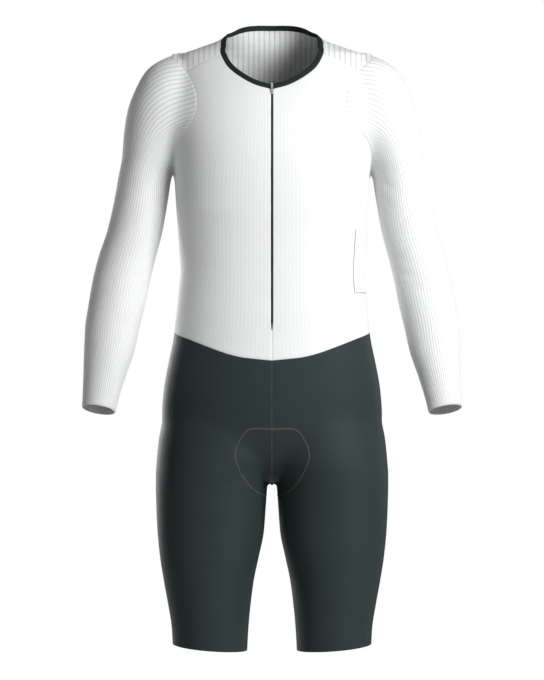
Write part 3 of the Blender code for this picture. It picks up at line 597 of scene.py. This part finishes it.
def shell(name, grid, lift, thick, size, material, closed=False, inside=0.0, across_at=None):
    """A closed shell: the outer skin is the grid plus lift along its normal, the inner less thick.

    size is the (width, length) in millimetres that the UV map spreads over the panel. inside is
    how much further in the inner skin lies, point by point, and across_at gives each point's own
    place across in place of an even spread.
    """
    normal = outward(grid)
    lift = np.broadcast_to(lift, grid.shape[:2])[..., None]
    thick = thick + np.broadcast_to(inside, grid.shape[:2])[..., None]
    outer, inner = grid + lift * normal, grid - thick * normal
    rows, columns = grid.shape[:2]
    cells, across, up = cell_corners(rows, columns, closed)
    under = rows * columns
    rims = []
    for loop in rim_loops(rows, columns, closed):
        this, after = loop[:-1], loop[1:]
        rims.append(np.stack((after, this, under + this, under + after), axis=1))
    rim = np.concatenate(rims)
    wide = columns if closed else columns - 1
    places = np.stack((across / wide * size[0], up / (rows - 1) * size[1]), axis=-1)
    number = rim % under
    rim_places = np.stack(
        (number % columns / wide * size[0], number // columns / (rows - 1) * size[1]), axis=-1
    )
    if across_at is not None:
        places[..., 0] = across_at.ravel()[cells]
        rim_places[..., 0] = across_at.ravel()[number]
    points = np.concatenate((outer.reshape(-1, 3), inner.reshape(-1, 3)))
    a, b, _, d = (points[cells[:, k]] for k in range(4))
    facing = np.sum(np.cross(b - a, d - a) * normal.reshape(-1, 3)[cells[:, 0]])
    all_cells = np.concatenate((cells, under + cells[:, ::-1], rim))
    all_places = np.concatenate((places, places[:, ::-1], rim_places))
    if facing < 0:
        all_cells, all_places = all_cells[:, ::-1], all_places[:, ::-1]
    return make_mesh(name, points, all_cells, all_places, material)


print("a 3 x 4 grid has", len(cell_corners(3, 4, False)[0]), "cells")

# %% [markdown]
# ## Soft folds
# The suit is tight and shows only soft shading at the armpits, elbows and fork. Each fold is a
# shallow trough along a short line. A cloth simulation would add creases that the real suit
# doesn't show.

# %% Troughs
FOLDS = (
    # start, end, depth, width
    ((150, -60, -172), (136, -96, -205), 1.5, 9),
    ((158, -40, -190), (148, -82, -232), 1.1, 8),
    ((168, -32, -212), (196, -44, -226), 1.6, 7),
    ((170, -30, -236), (190, -42, -256), 1.0, 8),
    ((196, -20, -352), (226, -54, -366), 1.7, 8),
    ((200, -24, -378), (240, -60, -384), 1.3, 7),
    ((192, -8, -332), (214, -44, -342), 1.0, 7),
    ((280, 22, -352), (262, 40, -368), 0.9, 9),
    ((150, 60, -176), (128, 92, -214), 1.4, 10),
    ((60, 98, -330), (118, 78, -344), 1.2, 12),
    ((20, 97, -362), (84, 92, -372), 0.9, 11),
    ((18, -92, -648), (64, -106, -622), 1.6, 9),
    ((14, -76, -672), (70, -104, -672), 1.3, 9),
    ((20, 110, -650), (78, 118, -668), 1.8, 11),
)


def fold_depth(points, side_share=1.0):
    """Depth of all troughs at the points: each is depth * exp(-(distance / width) squared).

    The distance is to the nearest point of the fold's line, so its ends fade as its sides do.
    """
    depth = np.zeros(points.shape[:-1])
    for start, end, deep, width in FOLDS:
        start, end = np.array(start, float), np.array(end, float)
        run = end - start
        along = np.clip((points - start) @ run / (run @ run), 0, 1)
        away = np.linalg.norm(points - (start + along[..., None] * run), axis=-1)
        taper = np.sin(np.pi * np.clip(0.15 + 0.7 * along, 0, 1))
        depth += side_share * deep * taper * np.exp(-(away / width) ** 2)
    return depth


def edge_dip(grid, depth, closed=False):
    """Depth by which the border rows roll in: all of it on the border, none a row inside."""
    dip = np.zeros(grid.shape[:2])
    dip[0] = dip[-1] = depth
    if not closed:
        dip[:, 0] = dip[:, -1] = depth
    return dip


print("folds:", len(FOLDS), "on each side")

# %% [markdown]
# ## Finishes
# Fabric patterns follow the panels' own UV maps, which are in millimetres: u runs across and v
# along. Waves of sine make the knit. Colour and height vary with them, while sheen and roughness
# are the same all over, so they are set on the shader itself.

# %% Node helpers


def new_material(name, colour, roughness, **extras):
    """A Principled material with its plain values set on the shader's own sockets."""
    material = bpy.data.materials.new(name)
    material.use_nodes = True
    shader = material.node_tree.nodes["Principled BSDF"]
    shader.inputs["Base Color"].default_value = (*colour, 1)
    shader.inputs["Roughness"].default_value = roughness
    for socket, value in extras.items():
        shader.inputs[socket.replace("_", " ")].default_value = value
    return material


def add_node(material, kind, **settings):
    """A node of that kind with its settings."""
    node = material.node_tree.nodes.new(kind)
    for setting, value in settings.items():
        setattr(node, setting, value)
    return node


def wire(material, output, target):
    """Link an output to an input."""
    material.node_tree.links.new(output, target)


def calculate(material, operation, first, second=None, third=None):
    """A Math node's output; each input is a number or another output."""
    node = add_node(material, "ShaderNodeMath", operation=operation)
    for socket, value in zip(node.inputs, (first, second, third)):
        if value is None:
            continue
        if isinstance(value, (int, float)):
            socket.default_value = value
        else:
            wire(material, value, socket)
    return node.outputs[0]


def cloth_place(material):
    """The u and v outputs of the panel's own map, in millimetres."""
    uv = add_node(material, "ShaderNodeUVMap", uv_map="cloth")
    parts = add_node(material, "ShaderNodeSeparateXYZ")
    wire(material, uv.outputs[0], parts.inputs[0])
    return parts.outputs[0], parts.outputs[1]


def wave(material, along, pitch, phase=0.0):
    """A wave from 0 to 1 with that pitch: half of 1 plus the sine of 2 pi along / pitch."""
    turns = calculate(material, "MULTIPLY_ADD", along, 2 * np.pi / pitch, phase)
    return calculate(material, "MULTIPLY_ADD", calculate(material, "SINE", turns), 0.5, 0.5)


def cloudy(material, scale, detail=3.0):
    """Soft noise over the object, from 0 to 1."""
    where = add_node(material, "ShaderNodeTexCoord")
    noise = add_node(material, "ShaderNodeTexNoise")
    noise.inputs["Scale"].default_value = scale
    noise.inputs["Detail"].default_value = detail
    wire(material, where.outputs["Object"], noise.inputs["Vector"])
    return noise.outputs["Fac"]


def shade(material, mask, low, high):
    """Colour the surface from low to high by a mask."""
    mix = add_node(material, "ShaderNodeMix", data_type="RGBA")
    wire(material, mask, mix.inputs["Factor"])
    colour = [socket for socket in mix.inputs if socket.type == "RGBA"]
    colour[0].default_value, colour[1].default_value = (*low, 1), (*high, 1)
    result = [socket for socket in mix.outputs if socket.type == "RGBA"][0]
    wire(material, result, material.node_tree.nodes["Principled BSDF"].inputs["Base Color"])


def raise_by(material, height, depth):
    """Bump the surface by a height from 0 to 1, that many metres deep."""
    bump = add_node(material, "ShaderNodeBump")
    bump.inputs["Distance"].default_value = depth
    wire(material, height, bump.inputs["Height"])
    wire(material, bump.outputs[0], material.node_tree.nodes["Principled BSDF"].inputs["Normal"])


print("node helpers ready")

# %% Cloth, thread, coil and metal
RIB_PITCH = 4.5            # a rib and a groove, in the maps of the ribbed panels


def smooth_knit():
    """White knit of the fronts: fine wales, and very faint upright lines each few millimetres."""
    material = new_material("smooth_white_knit", (0.8, 0.81, 0.81), 0.68, Sheen_Weight=0.15)
    u, v = cloth_place(material)
    stitches = calculate(material, "MULTIPLY", wave(material, u, 1.1), wave(material, v, 0.9))
    lines = wave(material, u, 5.5)
    mask = calculate(material, "MULTIPLY_ADD", lines, 0.35, calculate(
        material, "MULTIPLY", cloudy(material, 9.0), 0.65))
    shade(material, mask, (0.70, 0.71, 0.715), (0.77, 0.775, 0.775))
    raise_by(material, calculate(material, "MULTIPLY_ADD", lines, 0.5, stitches), 0.00012)
    return material


def ribbed_knit():
    """White ribbed knit: ribs are in the mesh, and rungs like a ladder's; painted shade darkens the
    grooves.
    """
    material = new_material("ribbed_white_knit", (0.78, 0.79, 0.79), 0.74, Sheen_Weight=0.1)
    u, v = cloth_place(material)
    rungs = wave(material, v, 2.1)
    fine = calculate(material, "MULTIPLY", wave(material, u, 0.9), wave(material, v, 0.8))
    height = calculate(material, "MULTIPLY_ADD", rungs, 0.8, fine)
    # Darker colour in the grooves between the mesh's ribs: painted shade.
    groove_shade = calculate(material, "POWER", wave(material, u, RIB_PITCH, -np.pi / 2), 4.0)
    plain = calculate(material, "MULTIPLY_ADD", rungs, 0.25, calculate(
        material, "MULTIPLY_ADD", cloudy(material, 14.0), 0.3, 0.45))
    unshaded_ridge = calculate(material, "SUBTRACT", 1.0, groove_shade)
    mask = calculate(material, "MULTIPLY", plain, unshaded_ridge)
    # The low colour is painted shade in the grooves, and the darker rungs and uneven tone of the
    # cloth.
    shade(material, mask, (0.59, 0.60, 0.61), (0.88, 0.885, 0.885))
    raise_by(material, height, 0.00018)
    return material


def dark_knit():
    """Charcoal knit with a fine wale and little shine."""
    material = new_material(
        "charcoal_knit", (0.022, 0.032, 0.032), 0.55, Specular_IOR_Level=0.12,
    )
    u, v = cloth_place(material)
    stitches = calculate(material, "MULTIPLY", wave(material, u, 0.8), wave(material, v, 0.7))
    shade(material, cloudy(material, 11.0), (0.020, 0.030, 0.030), (0.026, 0.038, 0.038))
    raise_by(material, stitches, 0.00010)
    return material


def binding_knit():
    """Darker and tighter charcoal knit of the collar's folded tape."""
    material = new_material("binding_knit", (0.014, 0.018, 0.018), 0.6, Specular_IOR_Level=0.1)
    u, v = cloth_place(material)
    stitches = calculate(material, "MULTIPLY", wave(material, u, 0.8), wave(material, v, 0.7))
    shade(material, cloudy(material, 30.0), (0.012, 0.016, 0.016), (0.017, 0.022, 0.022))
    raise_by(material, stitches, 0.00008)
    return material


def stitched_thread():
    """Thread of the seat pad's stitching: slanting stitches along the band."""
    material = new_material("pad_thread", (0.05, 0.052, 0.046), 0.6, Specular_IOR_Level=0.25)
    u, v = cloth_place(material)
    slanted = calculate(material, "MULTIPLY_ADD", u, 0.7, v)
    stitches = wave(material, slanted, 1.9)
    shade(material, stitches, (0.034, 0.042, 0.039), (0.068, 0.068, 0.058))
    raise_by(material, stitches, 0.0003)
    return material


def coil_plastic():
    """Black plastic of the zip's coil and tape."""
    material = new_material("zip_black", (0.008, 0.008, 0.009), 0.5, Specular_IOR_Level=0.1)
    shade(material, cloudy(material, 300.0), (0.006, 0.006, 0.007), (0.014, 0.014, 0.015))
    raise_by(material, cloudy(material, 900.0), 0.00005)
    return material


def lacquered_metal():
    """Grey lacquer of the slider and its tab, a little worn."""
    material = new_material("grey_lacquer", (0.5, 0.52, 0.51), 0.36, Metallic=0.35)
    shade(material, cloudy(material, 420.0), (0.46, 0.48, 0.475), (0.56, 0.58, 0.57))
    raise_by(material, cloudy(material, 1500.0), 0.00004)
    return material


WHITE, RIBBED, DARK = smooth_knit(), ribbed_knit(), dark_knit()
BINDING, THREAD = binding_knit(), stitched_thread()
COIL, METAL = coil_plastic(), lacquered_metal()
print("finishes:", ", ".join(m.name for m in (WHITE, RIBBED, DARK, BINDING, THREAD, COIL, METAL)))

# %% [markdown]
# ## The cloth panels
# Now the grids become shells, and each hides the solid it stands for. A skinsuit is worn
# stretched, so its cut is a little smaller than the worn cloth.

# %% Fronts
CLOTH = 0.9                # wall of the shells, inside the solids' 1.2
SEAM_DIP, DARK_SEAM_DIP = 0.5, 0.25
FRONT_MAP, SHORTS_MAP = (190, 470), (480, 500)     # width and length in the panels' maps
BACK_LENGTH, SLEEVE_LENGTH = 480, 560              # the ribbed panels' lengths in theirs
SIDE_NAMES = (("left", 1), ("right", -1))
RIGHT_FOLDS = 0.75         # the right side's folds are a little shallower


def declare(piece, grid, closed, node):
    """Hide the solid that the piece stands for; return the piece. The cut's width goes unused."""
    across = np.linalg.norm(np.diff(grid, axis=1), axis=2).sum(axis=1).max()
    if closed:
        across += np.linalg.norm(grid[:, 0] - grid[:, -1], axis=1).max()
    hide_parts(node)
    return piece


for name, hand in SIDE_NAMES:
    grid = front_fine if hand > 0 else mirrored(front_fine)
    sunk = fold_depth(front_fine, 1 if hand > 0 else RIGHT_FOLDS) + edge_dip(grid, SEAM_DIP)
    piece = shell(f"cloth_front_{name}", grid, -sunk, CLOTH + SEAM_DIP, FRONT_MAP, WHITE)
    declare(piece, grid, False, f"front_{name}")

# %% The ribbed back
# Its ribs follow the columns up to the armpits. Above, they run straight up at one pitch, and
# their relief fades on the shoulders, as stretched knit's does. Their painted groove shade stays.
RIB_RELIEF, RIB_FULLNESS = 0.32, 0.7
STRAIGHT_OVER = (33, 57)     # rows over which the ribs turn straight
YOKE_OVER = (61, 73)         # rows over which the relief fades
FADE_OVER = (60.0, 100.0)    # and how far to the side of the neck
PITCH_COLUMNS = 30           # columns each side of the middle that give the pitch


def rib_height(count):
    """Height where that many ribs are passed: the size of cos(pi * count), to a power below 1."""
    return RIB_RELIEF * np.abs(np.cos(np.pi * count)) ** RIB_FULLNESS


def ease(value, low, high):
    """0 below low, 1 above high, and 3 t^2 - 2 t^3 between."""
    t = np.clip((value - low) / (high - low), 0, 1)
    return t * t * (3 - 2 * t)


rows, columns = back_fine.shape[:2]
row, column = np.arange(rows)[:, None], np.arange(columns)[None]
by_column = BACK_RIBS * column / (columns - 1)
nearby = slice(columns // 2 - PITCH_COLUMNS, columns // 2 + PITCH_COLUMNS + 1)
mean_x = np.diff(back_fine[STRAIGHT_OVER[0], nearby, 0]).mean()
pitch_x = mean_x * (columns - 1) / BACK_RIBS
by_x = BACK_RIBS / 2 + back_fine[..., 0] / pitch_x
straight = ease(row, *STRAIGHT_OVER)
passed = (1 - straight) * by_column + straight * by_x
on_yoke = ease(row, *YOKE_OVER) * ease(np.abs(back_fine[..., 0]), *FADE_OVER)
back_ribs = rib_height(passed) * (1 - on_yoke)
back_folds = np.maximum(fold_depth(back_fine), fold_depth(mirrored(back_fine), RIGHT_FOLDS))
back_lift = back_ribs - back_folds - edge_dip(back_fine, SEAM_DIP)
piece = shell(
    "cloth_back", back_fine, back_lift, CLOTH + SEAM_DIP, (BACK_RIBS * RIB_PITCH, BACK_LENGTH),
    RIBBED, inside=back_ribs - RIB_RELIEF, across_at=passed * RIB_PITCH,
)
print("back ribs:", round(float(pitch_x), 1), "mm apart above the armpits")
declare(piece, back_fine, False, "back")

# %% Sleeves
for name, hand in SIDE_NAMES:
    grid = sleeve_fine if hand > 0 else mirrored(sleeve_fine)
    sunk = fold_depth(sleeve_fine, 1 if hand > 0 else RIGHT_FOLDS)
    raised = rib_height(SLEEVE_RIBS * np.arange(grid.shape[1]) / grid.shape[1])[None]
    lift = raised - sunk - edge_dip(grid, SEAM_DIP, True)
    size = (SLEEVE_RIBS * RIB_PITCH, SLEEVE_LENGTH)
    piece = shell(f"cloth_sleeve_{name}", grid, lift, CLOTH + SEAM_DIP, size, RIBBED, True)
    declare(piece, grid, True, f"sleeve_{name}")

# %% Shorts
for name, hand in SIDE_NAMES:
    grid = shorts_fine if hand > 0 else mirrored(shorts_fine)
    sunk = fold_depth(shorts_fine, 1 if hand > 0 else RIGHT_FOLDS) + edge_dip(grid, DARK_SEAM_DIP)
    piece = shell(f"cloth_shorts_{name}", grid, -sunk, CLOTH + SEAM_DIP, SHORTS_MAP, DARK)
    declare(piece, grid, False, f"shorts_{name}")

# %% [markdown]
# ## Collar, zip and pocket
# The collar is a folded tape sewn over the neck's edge, a little proud of the panels.

# %% Collar binding
BINDING_WIDTH, BINDING_WALL, BINDING_PROUD = 8.5, 2.0, 0.4
BINDING_ROLL, BINDING_GAP = 0.4, 0.3     # how far its edges roll in, and its gap to the zip
BINDING_ROWS, BINDING_LENGTH = 9, 500
neck_half = join(neck_front, neck_back)
neck_line = curve_rows(join(neck_half, mirrored(neck_half)[::-1]), 6)
neck_line = settle(neck_line, steps=3)
along = np.gradient(neck_line, axis=0)
along /= np.linalg.norm(along, axis=1, keepdims=True)
along[0] = along[-1] = (-1, 0, 0)
climb = np.cross(along, outward(neck_line))
climb *= np.sign(climb[:, 2:])
climb /= np.linalg.norm(climb, axis=1, keepdims=True)
reaches = np.linspace(0, BINDING_WIDTH, BINDING_ROWS)
collar = np.stack([settle(neck_line + climb * reach, steps=4) for reach in reaches])
collar[:, 0, 0] = ZIP_WIDTH / 2 + BINDING_GAP
collar[:, -1, 0] = -collar[:, 0, 0]
rounding = np.sqrt(1 - np.linspace(-1, 1, BINDING_ROWS) ** 8)[:, None]
piece = shell(
    "collar_tape", collar, BINDING_PROUD * rounding - BINDING_ROLL * (1 - rounding),
    BINDING_WALL - BINDING_PROUD, (BINDING_LENGTH, BINDING_WIDTH), BINDING,
)
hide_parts("collar_binding")
neck_steps = np.linalg.norm(np.diff(neck_line, axis=0), axis=1)
print("collar tape:", round(float(neck_steps.sum())), "mm long")

# %% A closed band round a path


def band(name, path, across, up, width, height, sides, material):
    """A ring at each point of a closed path: width cos(turn) across plus height sin(turn) up."""
    turns = 2 * np.pi * np.arange(sides) / sides
    ring = width * np.cos(turns)[None, :, None] * across[:, None]
    ring = ring + height * np.sin(turns)[None, :, None] * up[:, None]
    points = (path[:, None] + ring).reshape(-1, 3)
    steps = np.linalg.norm(np.roll(path, -1, axis=0) - path, axis=1)
    run = np.concatenate(([0], np.cumsum(steps)))
    cells, around, step = cell_corners(len(path) + 1, sides, True)
    cells = cells % len(points)
    places = np.stack((around / sides * 2 * np.pi * width, run[step]), axis=-1)
    a, b, d = (points[cells[:, k]] for k in (0, 1, 3))
    facing = np.sum(np.cross(b - a, d - a) * (a - path[step[:, 0] % len(path)]))
    if facing < 0:
        cells, places = cells[:, ::-1], places[:, ::-1]
    return make_mesh(name, points, cells, places, material, np.pi)


# %% Zip tape and coil
ZIP_LENGTH, TAPE_DEPTH = 386, 0.25     # length in its map, and how far it lies below the cloth
TOOTH_PITCH = 1.5
TOOTH = (0.95, 0.35, 0.45)             # half sizes across, out and along
TOOTH_SHIFT = 0.35                     # teeth step to either side in turn
TOOTH_NARROWING = (0.75, 1, 0.6)       # of a tooth's outer face
SLIDER_COVERS = 11.0                   # no teeth under the slider
throat = centre[-1]
_, out_y, out_z = outward(throat[None])[0]
above = settle((throat + BINDING_WIDTH * np.array([0, out_z, -out_y]))[None])
zip_line = curve_rows(np.vstack((centre[2:], above)), 5)
zip_line[:, 0] = 0
half = zip_half(zip_line[:, 2], 0.0)
sideways = np.array([1.0, 0, 0])
tape_shares = (-1, -0.4, 0.4, 1)
tape = np.stack([zip_line + half[:, None] * share * sideways for share in tape_shares], axis=1)
piece = shell("zip_tape_strip", tape, -TAPE_DEPTH, CLOTH, (ZIP_WIDTH, ZIP_LENGTH), COIL)
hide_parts("zip")

steps = np.linalg.norm(np.diff(zip_line, axis=0), axis=1)
run = np.concatenate(([0], np.cumsum(steps)))
places_along = np.arange(TOOTH_PITCH, run[-1] - BINDING_WIDTH - SLIDER_COVERS, TOOTH_PITCH)
tooth_at = np.stack([np.interp(places_along, run, zip_line[:, axis]) for axis in range(3)], axis=1)
tooth_out = outward(tooth_at)
tooth_up = np.cross(tooth_out, sideways)
tooth_up *= np.sign(tooth_up[:, 2:])
narrow = zip_half(tooth_at[:, 2], 0.0) / (ZIP_WIDTH / 2)
hand = np.where(np.arange(len(tooth_at)) % 2 == 0, 1.0, -1.0)
corner = np.array([[x, y, z] for x in (-1, 1) for y in (-1, 1) for z in (-1, 1)], float)
corner[corner[:, 1] > 0] *= TOOTH_NARROWING
shift = TOOTH_SHIFT * hand * narrow
teeth = (
    tooth_at[:, None]
    + (corner[None, :, :1] * TOOTH[0] * narrow[:, None, None] + shift[:, None, None]) * sideways
    + corner[None, :, 1:2] * TOOTH[1] * tooth_out[:, None]
    + corner[None, :, 2:] * TOOTH[2] * tooth_up[:, None]
)
BOX_FACES = np.array([
    (0, 1, 3, 2), (4, 6, 7, 5), (0, 4, 5, 1), (2, 3, 7, 6), (0, 2, 6, 4), (1, 5, 7, 3),
])
tooth_faces = (8 * np.arange(len(teeth))[:, None, None] + BOX_FACES[None]).reshape(-1, 4)
flat_teeth = teeth.reshape(-1, 3)
a, b, d = (flat_teeth[tooth_faces[:, k]] for k in (0, 1, 3))
middles = np.repeat(teeth.mean(axis=1), 6, axis=0)
if np.sum(np.cross(b - a, d - a) * (a - middles)) < 0:
    tooth_faces = tooth_faces[:, ::-1]
piece = make_mesh("zip_coil", flat_teeth, tooth_faces, np.zeros((tooth_faces.size, 2)), COIL, 0.5)
print("zip coil:", len(teeth), "teeth")

# %% Slider and pull tab
for node in ("zip_slider", "zip_pull"):
    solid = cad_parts[node]
    solid.data.materials.clear()
    solid.data.materials.append(METAL)
print("slider and tab keep their solids")

# %% Side pocket
POCKET_LOW, POCKET_HIGH = -393.0, -288.0
POCKET_FRONT, POCKET_BACK = -34.0, 40.0
POCKET_SLANT, POCKET_LIFT, POCKET_WALL = 4.0, 1.2, 1.0
POCKET_DIP, POCKET_MAP = 0.35, (135, 105)
turns = np.radians(np.linspace(POCKET_BACK, POCKET_FRONT, 10))
pocket_rows = []
for height in np.linspace(POCKET_LOW, POCKET_HIGH, 7):
    _, outer, front, back, _ = read_table(TRUNK, np.array(height))
    level = height + POCKET_SLANT * (height < POCKET_HIGH) * np.cos(turns)
    pocket_rows.append(settle(np.stack(
        (outer * np.cos(turns), (back - front) / 2 * np.sin(turns), level), axis=1)))
pocket = refine(np.stack(pocket_rows)[:, ::-1], (5, 6))
pocket_lift = POCKET_LIFT + POCKET_WALL - edge_dip(pocket, POCKET_DIP)
piece = shell("cloth_side_pocket", pocket, pocket_lift, -POCKET_LIFT, POCKET_MAP, WHITE)
declare(piece, pocket, False, "side_pocket")

# %% [markdown]
# ## The seat pad's stitching
# The pad is sewn in from inside and shows only as a stitched outline, round the fork and up the
# seat. It is a flat band that follows the form, so that it shows in the mesh too.

# %% Pad outline
PAD_OUTLINE = (
    # the left half, from the middle in front round the thigh to the middle behind
    (0, -104, -603), (35, -106, -604), (50, -106, -621), (57.5, -104, -643), (54, -100, -660),
    (44, -94, -678), (30, -78, -696), (16, -48, -708), (12, -4, -712), (18, 44, -706),
    (40, 82, -690), (64, 106, -660), (74, 116, -625), (62, 120, -590), (32, 124, -572),
    (0, 126, -568),
)
PAD_PARTS, PAD_PROUD = 150, 0.1
PAD_BAND, PAD_SIDES = (1.7, 0.24), 8     # half width and height of the band, and its sides
pad_half = settle(curve_rows(np.array(PAD_OUTLINE, float), 10))
pad_half = settle(even_parts(pad_half, PAD_PARTS), steps=4)
pad_half[:, 0] = np.maximum(pad_half[:, 0], 0)
pad_path = np.concatenate((pad_half, mirrored(pad_half)[-2:0:-1]))
pad_out = outward(pad_path)
pad_along = np.roll(pad_path, -1, axis=0) - np.roll(pad_path, 1, axis=0)
pad_along /= np.linalg.norm(pad_along, axis=1, keepdims=True)
pad_across = np.cross(pad_along, pad_out)
pad_across /= np.linalg.norm(pad_across, axis=1, keepdims=True)
pad_sunk = fold_depth(np.abs(pad_path) * (1, 0, 0) + pad_path * (0, 1, 1))
pad_path = pad_path + (PAD_PROUD - pad_sunk)[:, None] * pad_out
piece = band("pad_stitching", pad_path, pad_across, pad_out, *PAD_BAND, PAD_SIDES, THREAD)
print("pad outline:", len(pad_path), "rings")

# %% [markdown]
# ## Studio
# The photograph has a plain white ground and soft light, strongest from the viewer's right. The
# suit hangs in the air as worn, with a pale floor well below it.

# %% Floor, light and camera
FLOOR_HEIGHT, FLOOR_SIZE, FLOOR_SIDES = -1.35, 2.2, 64
floor_mesh = bpy.data.meshes.new("floor")
floor_turns = 2 * np.pi * np.arange(FLOOR_SIDES) / FLOOR_SIDES
floor_mesh.from_pydata(
    [(FLOOR_SIZE * np.cos(t), FLOOR_SIZE * np.sin(t), FLOOR_HEIGHT) for t in floor_turns],
    [], [tuple(range(FLOOR_SIDES))],
)
floor = bpy.data.objects.new("floor", floor_mesh)
floor_mesh.materials.append(new_material("pale_floor", (0.86, 0.86, 0.86), 0.8))
bpy.context.scene.collection.objects.link(floor)

AIM = (0.0, 0.0, -0.464)


def soft_light(name, place, power, size):
    """A square area light that faces the suit's middle."""
    data = bpy.data.lights.new(name, "AREA")
    data.energy, data.size = power, size
    lamp = bpy.data.objects.new(name, data)
    lamp.location = place
    direction = np.array(AIM) - np.array(place)
    lamp.rotation_euler = Vector(direction).to_track_quat("-Z", "Y").to_euler()
    bpy.context.scene.collection.objects.link(lamp)


soft_light("key", (1.5, -1.72, 0.6), 80, 1.1)
soft_light("fill", (-2.6, -1.4, 0.7), 10, 2.0)
soft_light("rim_left", (-1.6, 2.6, -0.3), 45, 1.2)
soft_light("rim_right", (2.0, 2.2, -0.3), 6, 1.2)

world = bpy.data.worlds.new("studio")
world.use_nodes = True
nodes, links = world.node_tree.nodes, world.node_tree.links
seen, lights = nodes["Background"], nodes.new("ShaderNodeBackground")
seen.inputs["Color"].default_value = lights.inputs["Color"].default_value = (1, 1, 1, 1)
seen.inputs["Strength"].default_value = 1.0
lights.inputs["Strength"].default_value = 0.10
ray, mix = nodes.new("ShaderNodeLightPath"), nodes.new("ShaderNodeMixShader")
links.new(ray.outputs["Is Camera Ray"], mix.inputs[0])
links.new(lights.outputs[0], mix.inputs[1])
links.new(seen.outputs[0], mix.inputs[2])
links.new(mix.outputs[0], nodes["World Output"].inputs["Surface"])
bpy.context.scene.world = world
bpy.context.scene.view_settings.view_transform = "Standard"

IMAGE_HIGH = 680
MM_PER_PIXEL = 1.6
CAMERA_DISTANCE = 4.5
camera_data = bpy.data.cameras.new("camera")
frame_height = IMAGE_HIGH * MM_PER_PIXEL * METRES
camera_data.lens = camera_data.sensor_width * CAMERA_DISTANCE / frame_height
camera = bpy.data.objects.new("camera", camera_data)
camera.location = (AIM[0], -CAMERA_DISTANCE, AIM[2])
camera.rotation_euler = (np.pi / 2, 0, 0)
bpy.context.scene.collection.objects.link(camera)
bpy.context.scene.camera = camera
print("camera lens", round(camera_data.lens, 1), "mm")
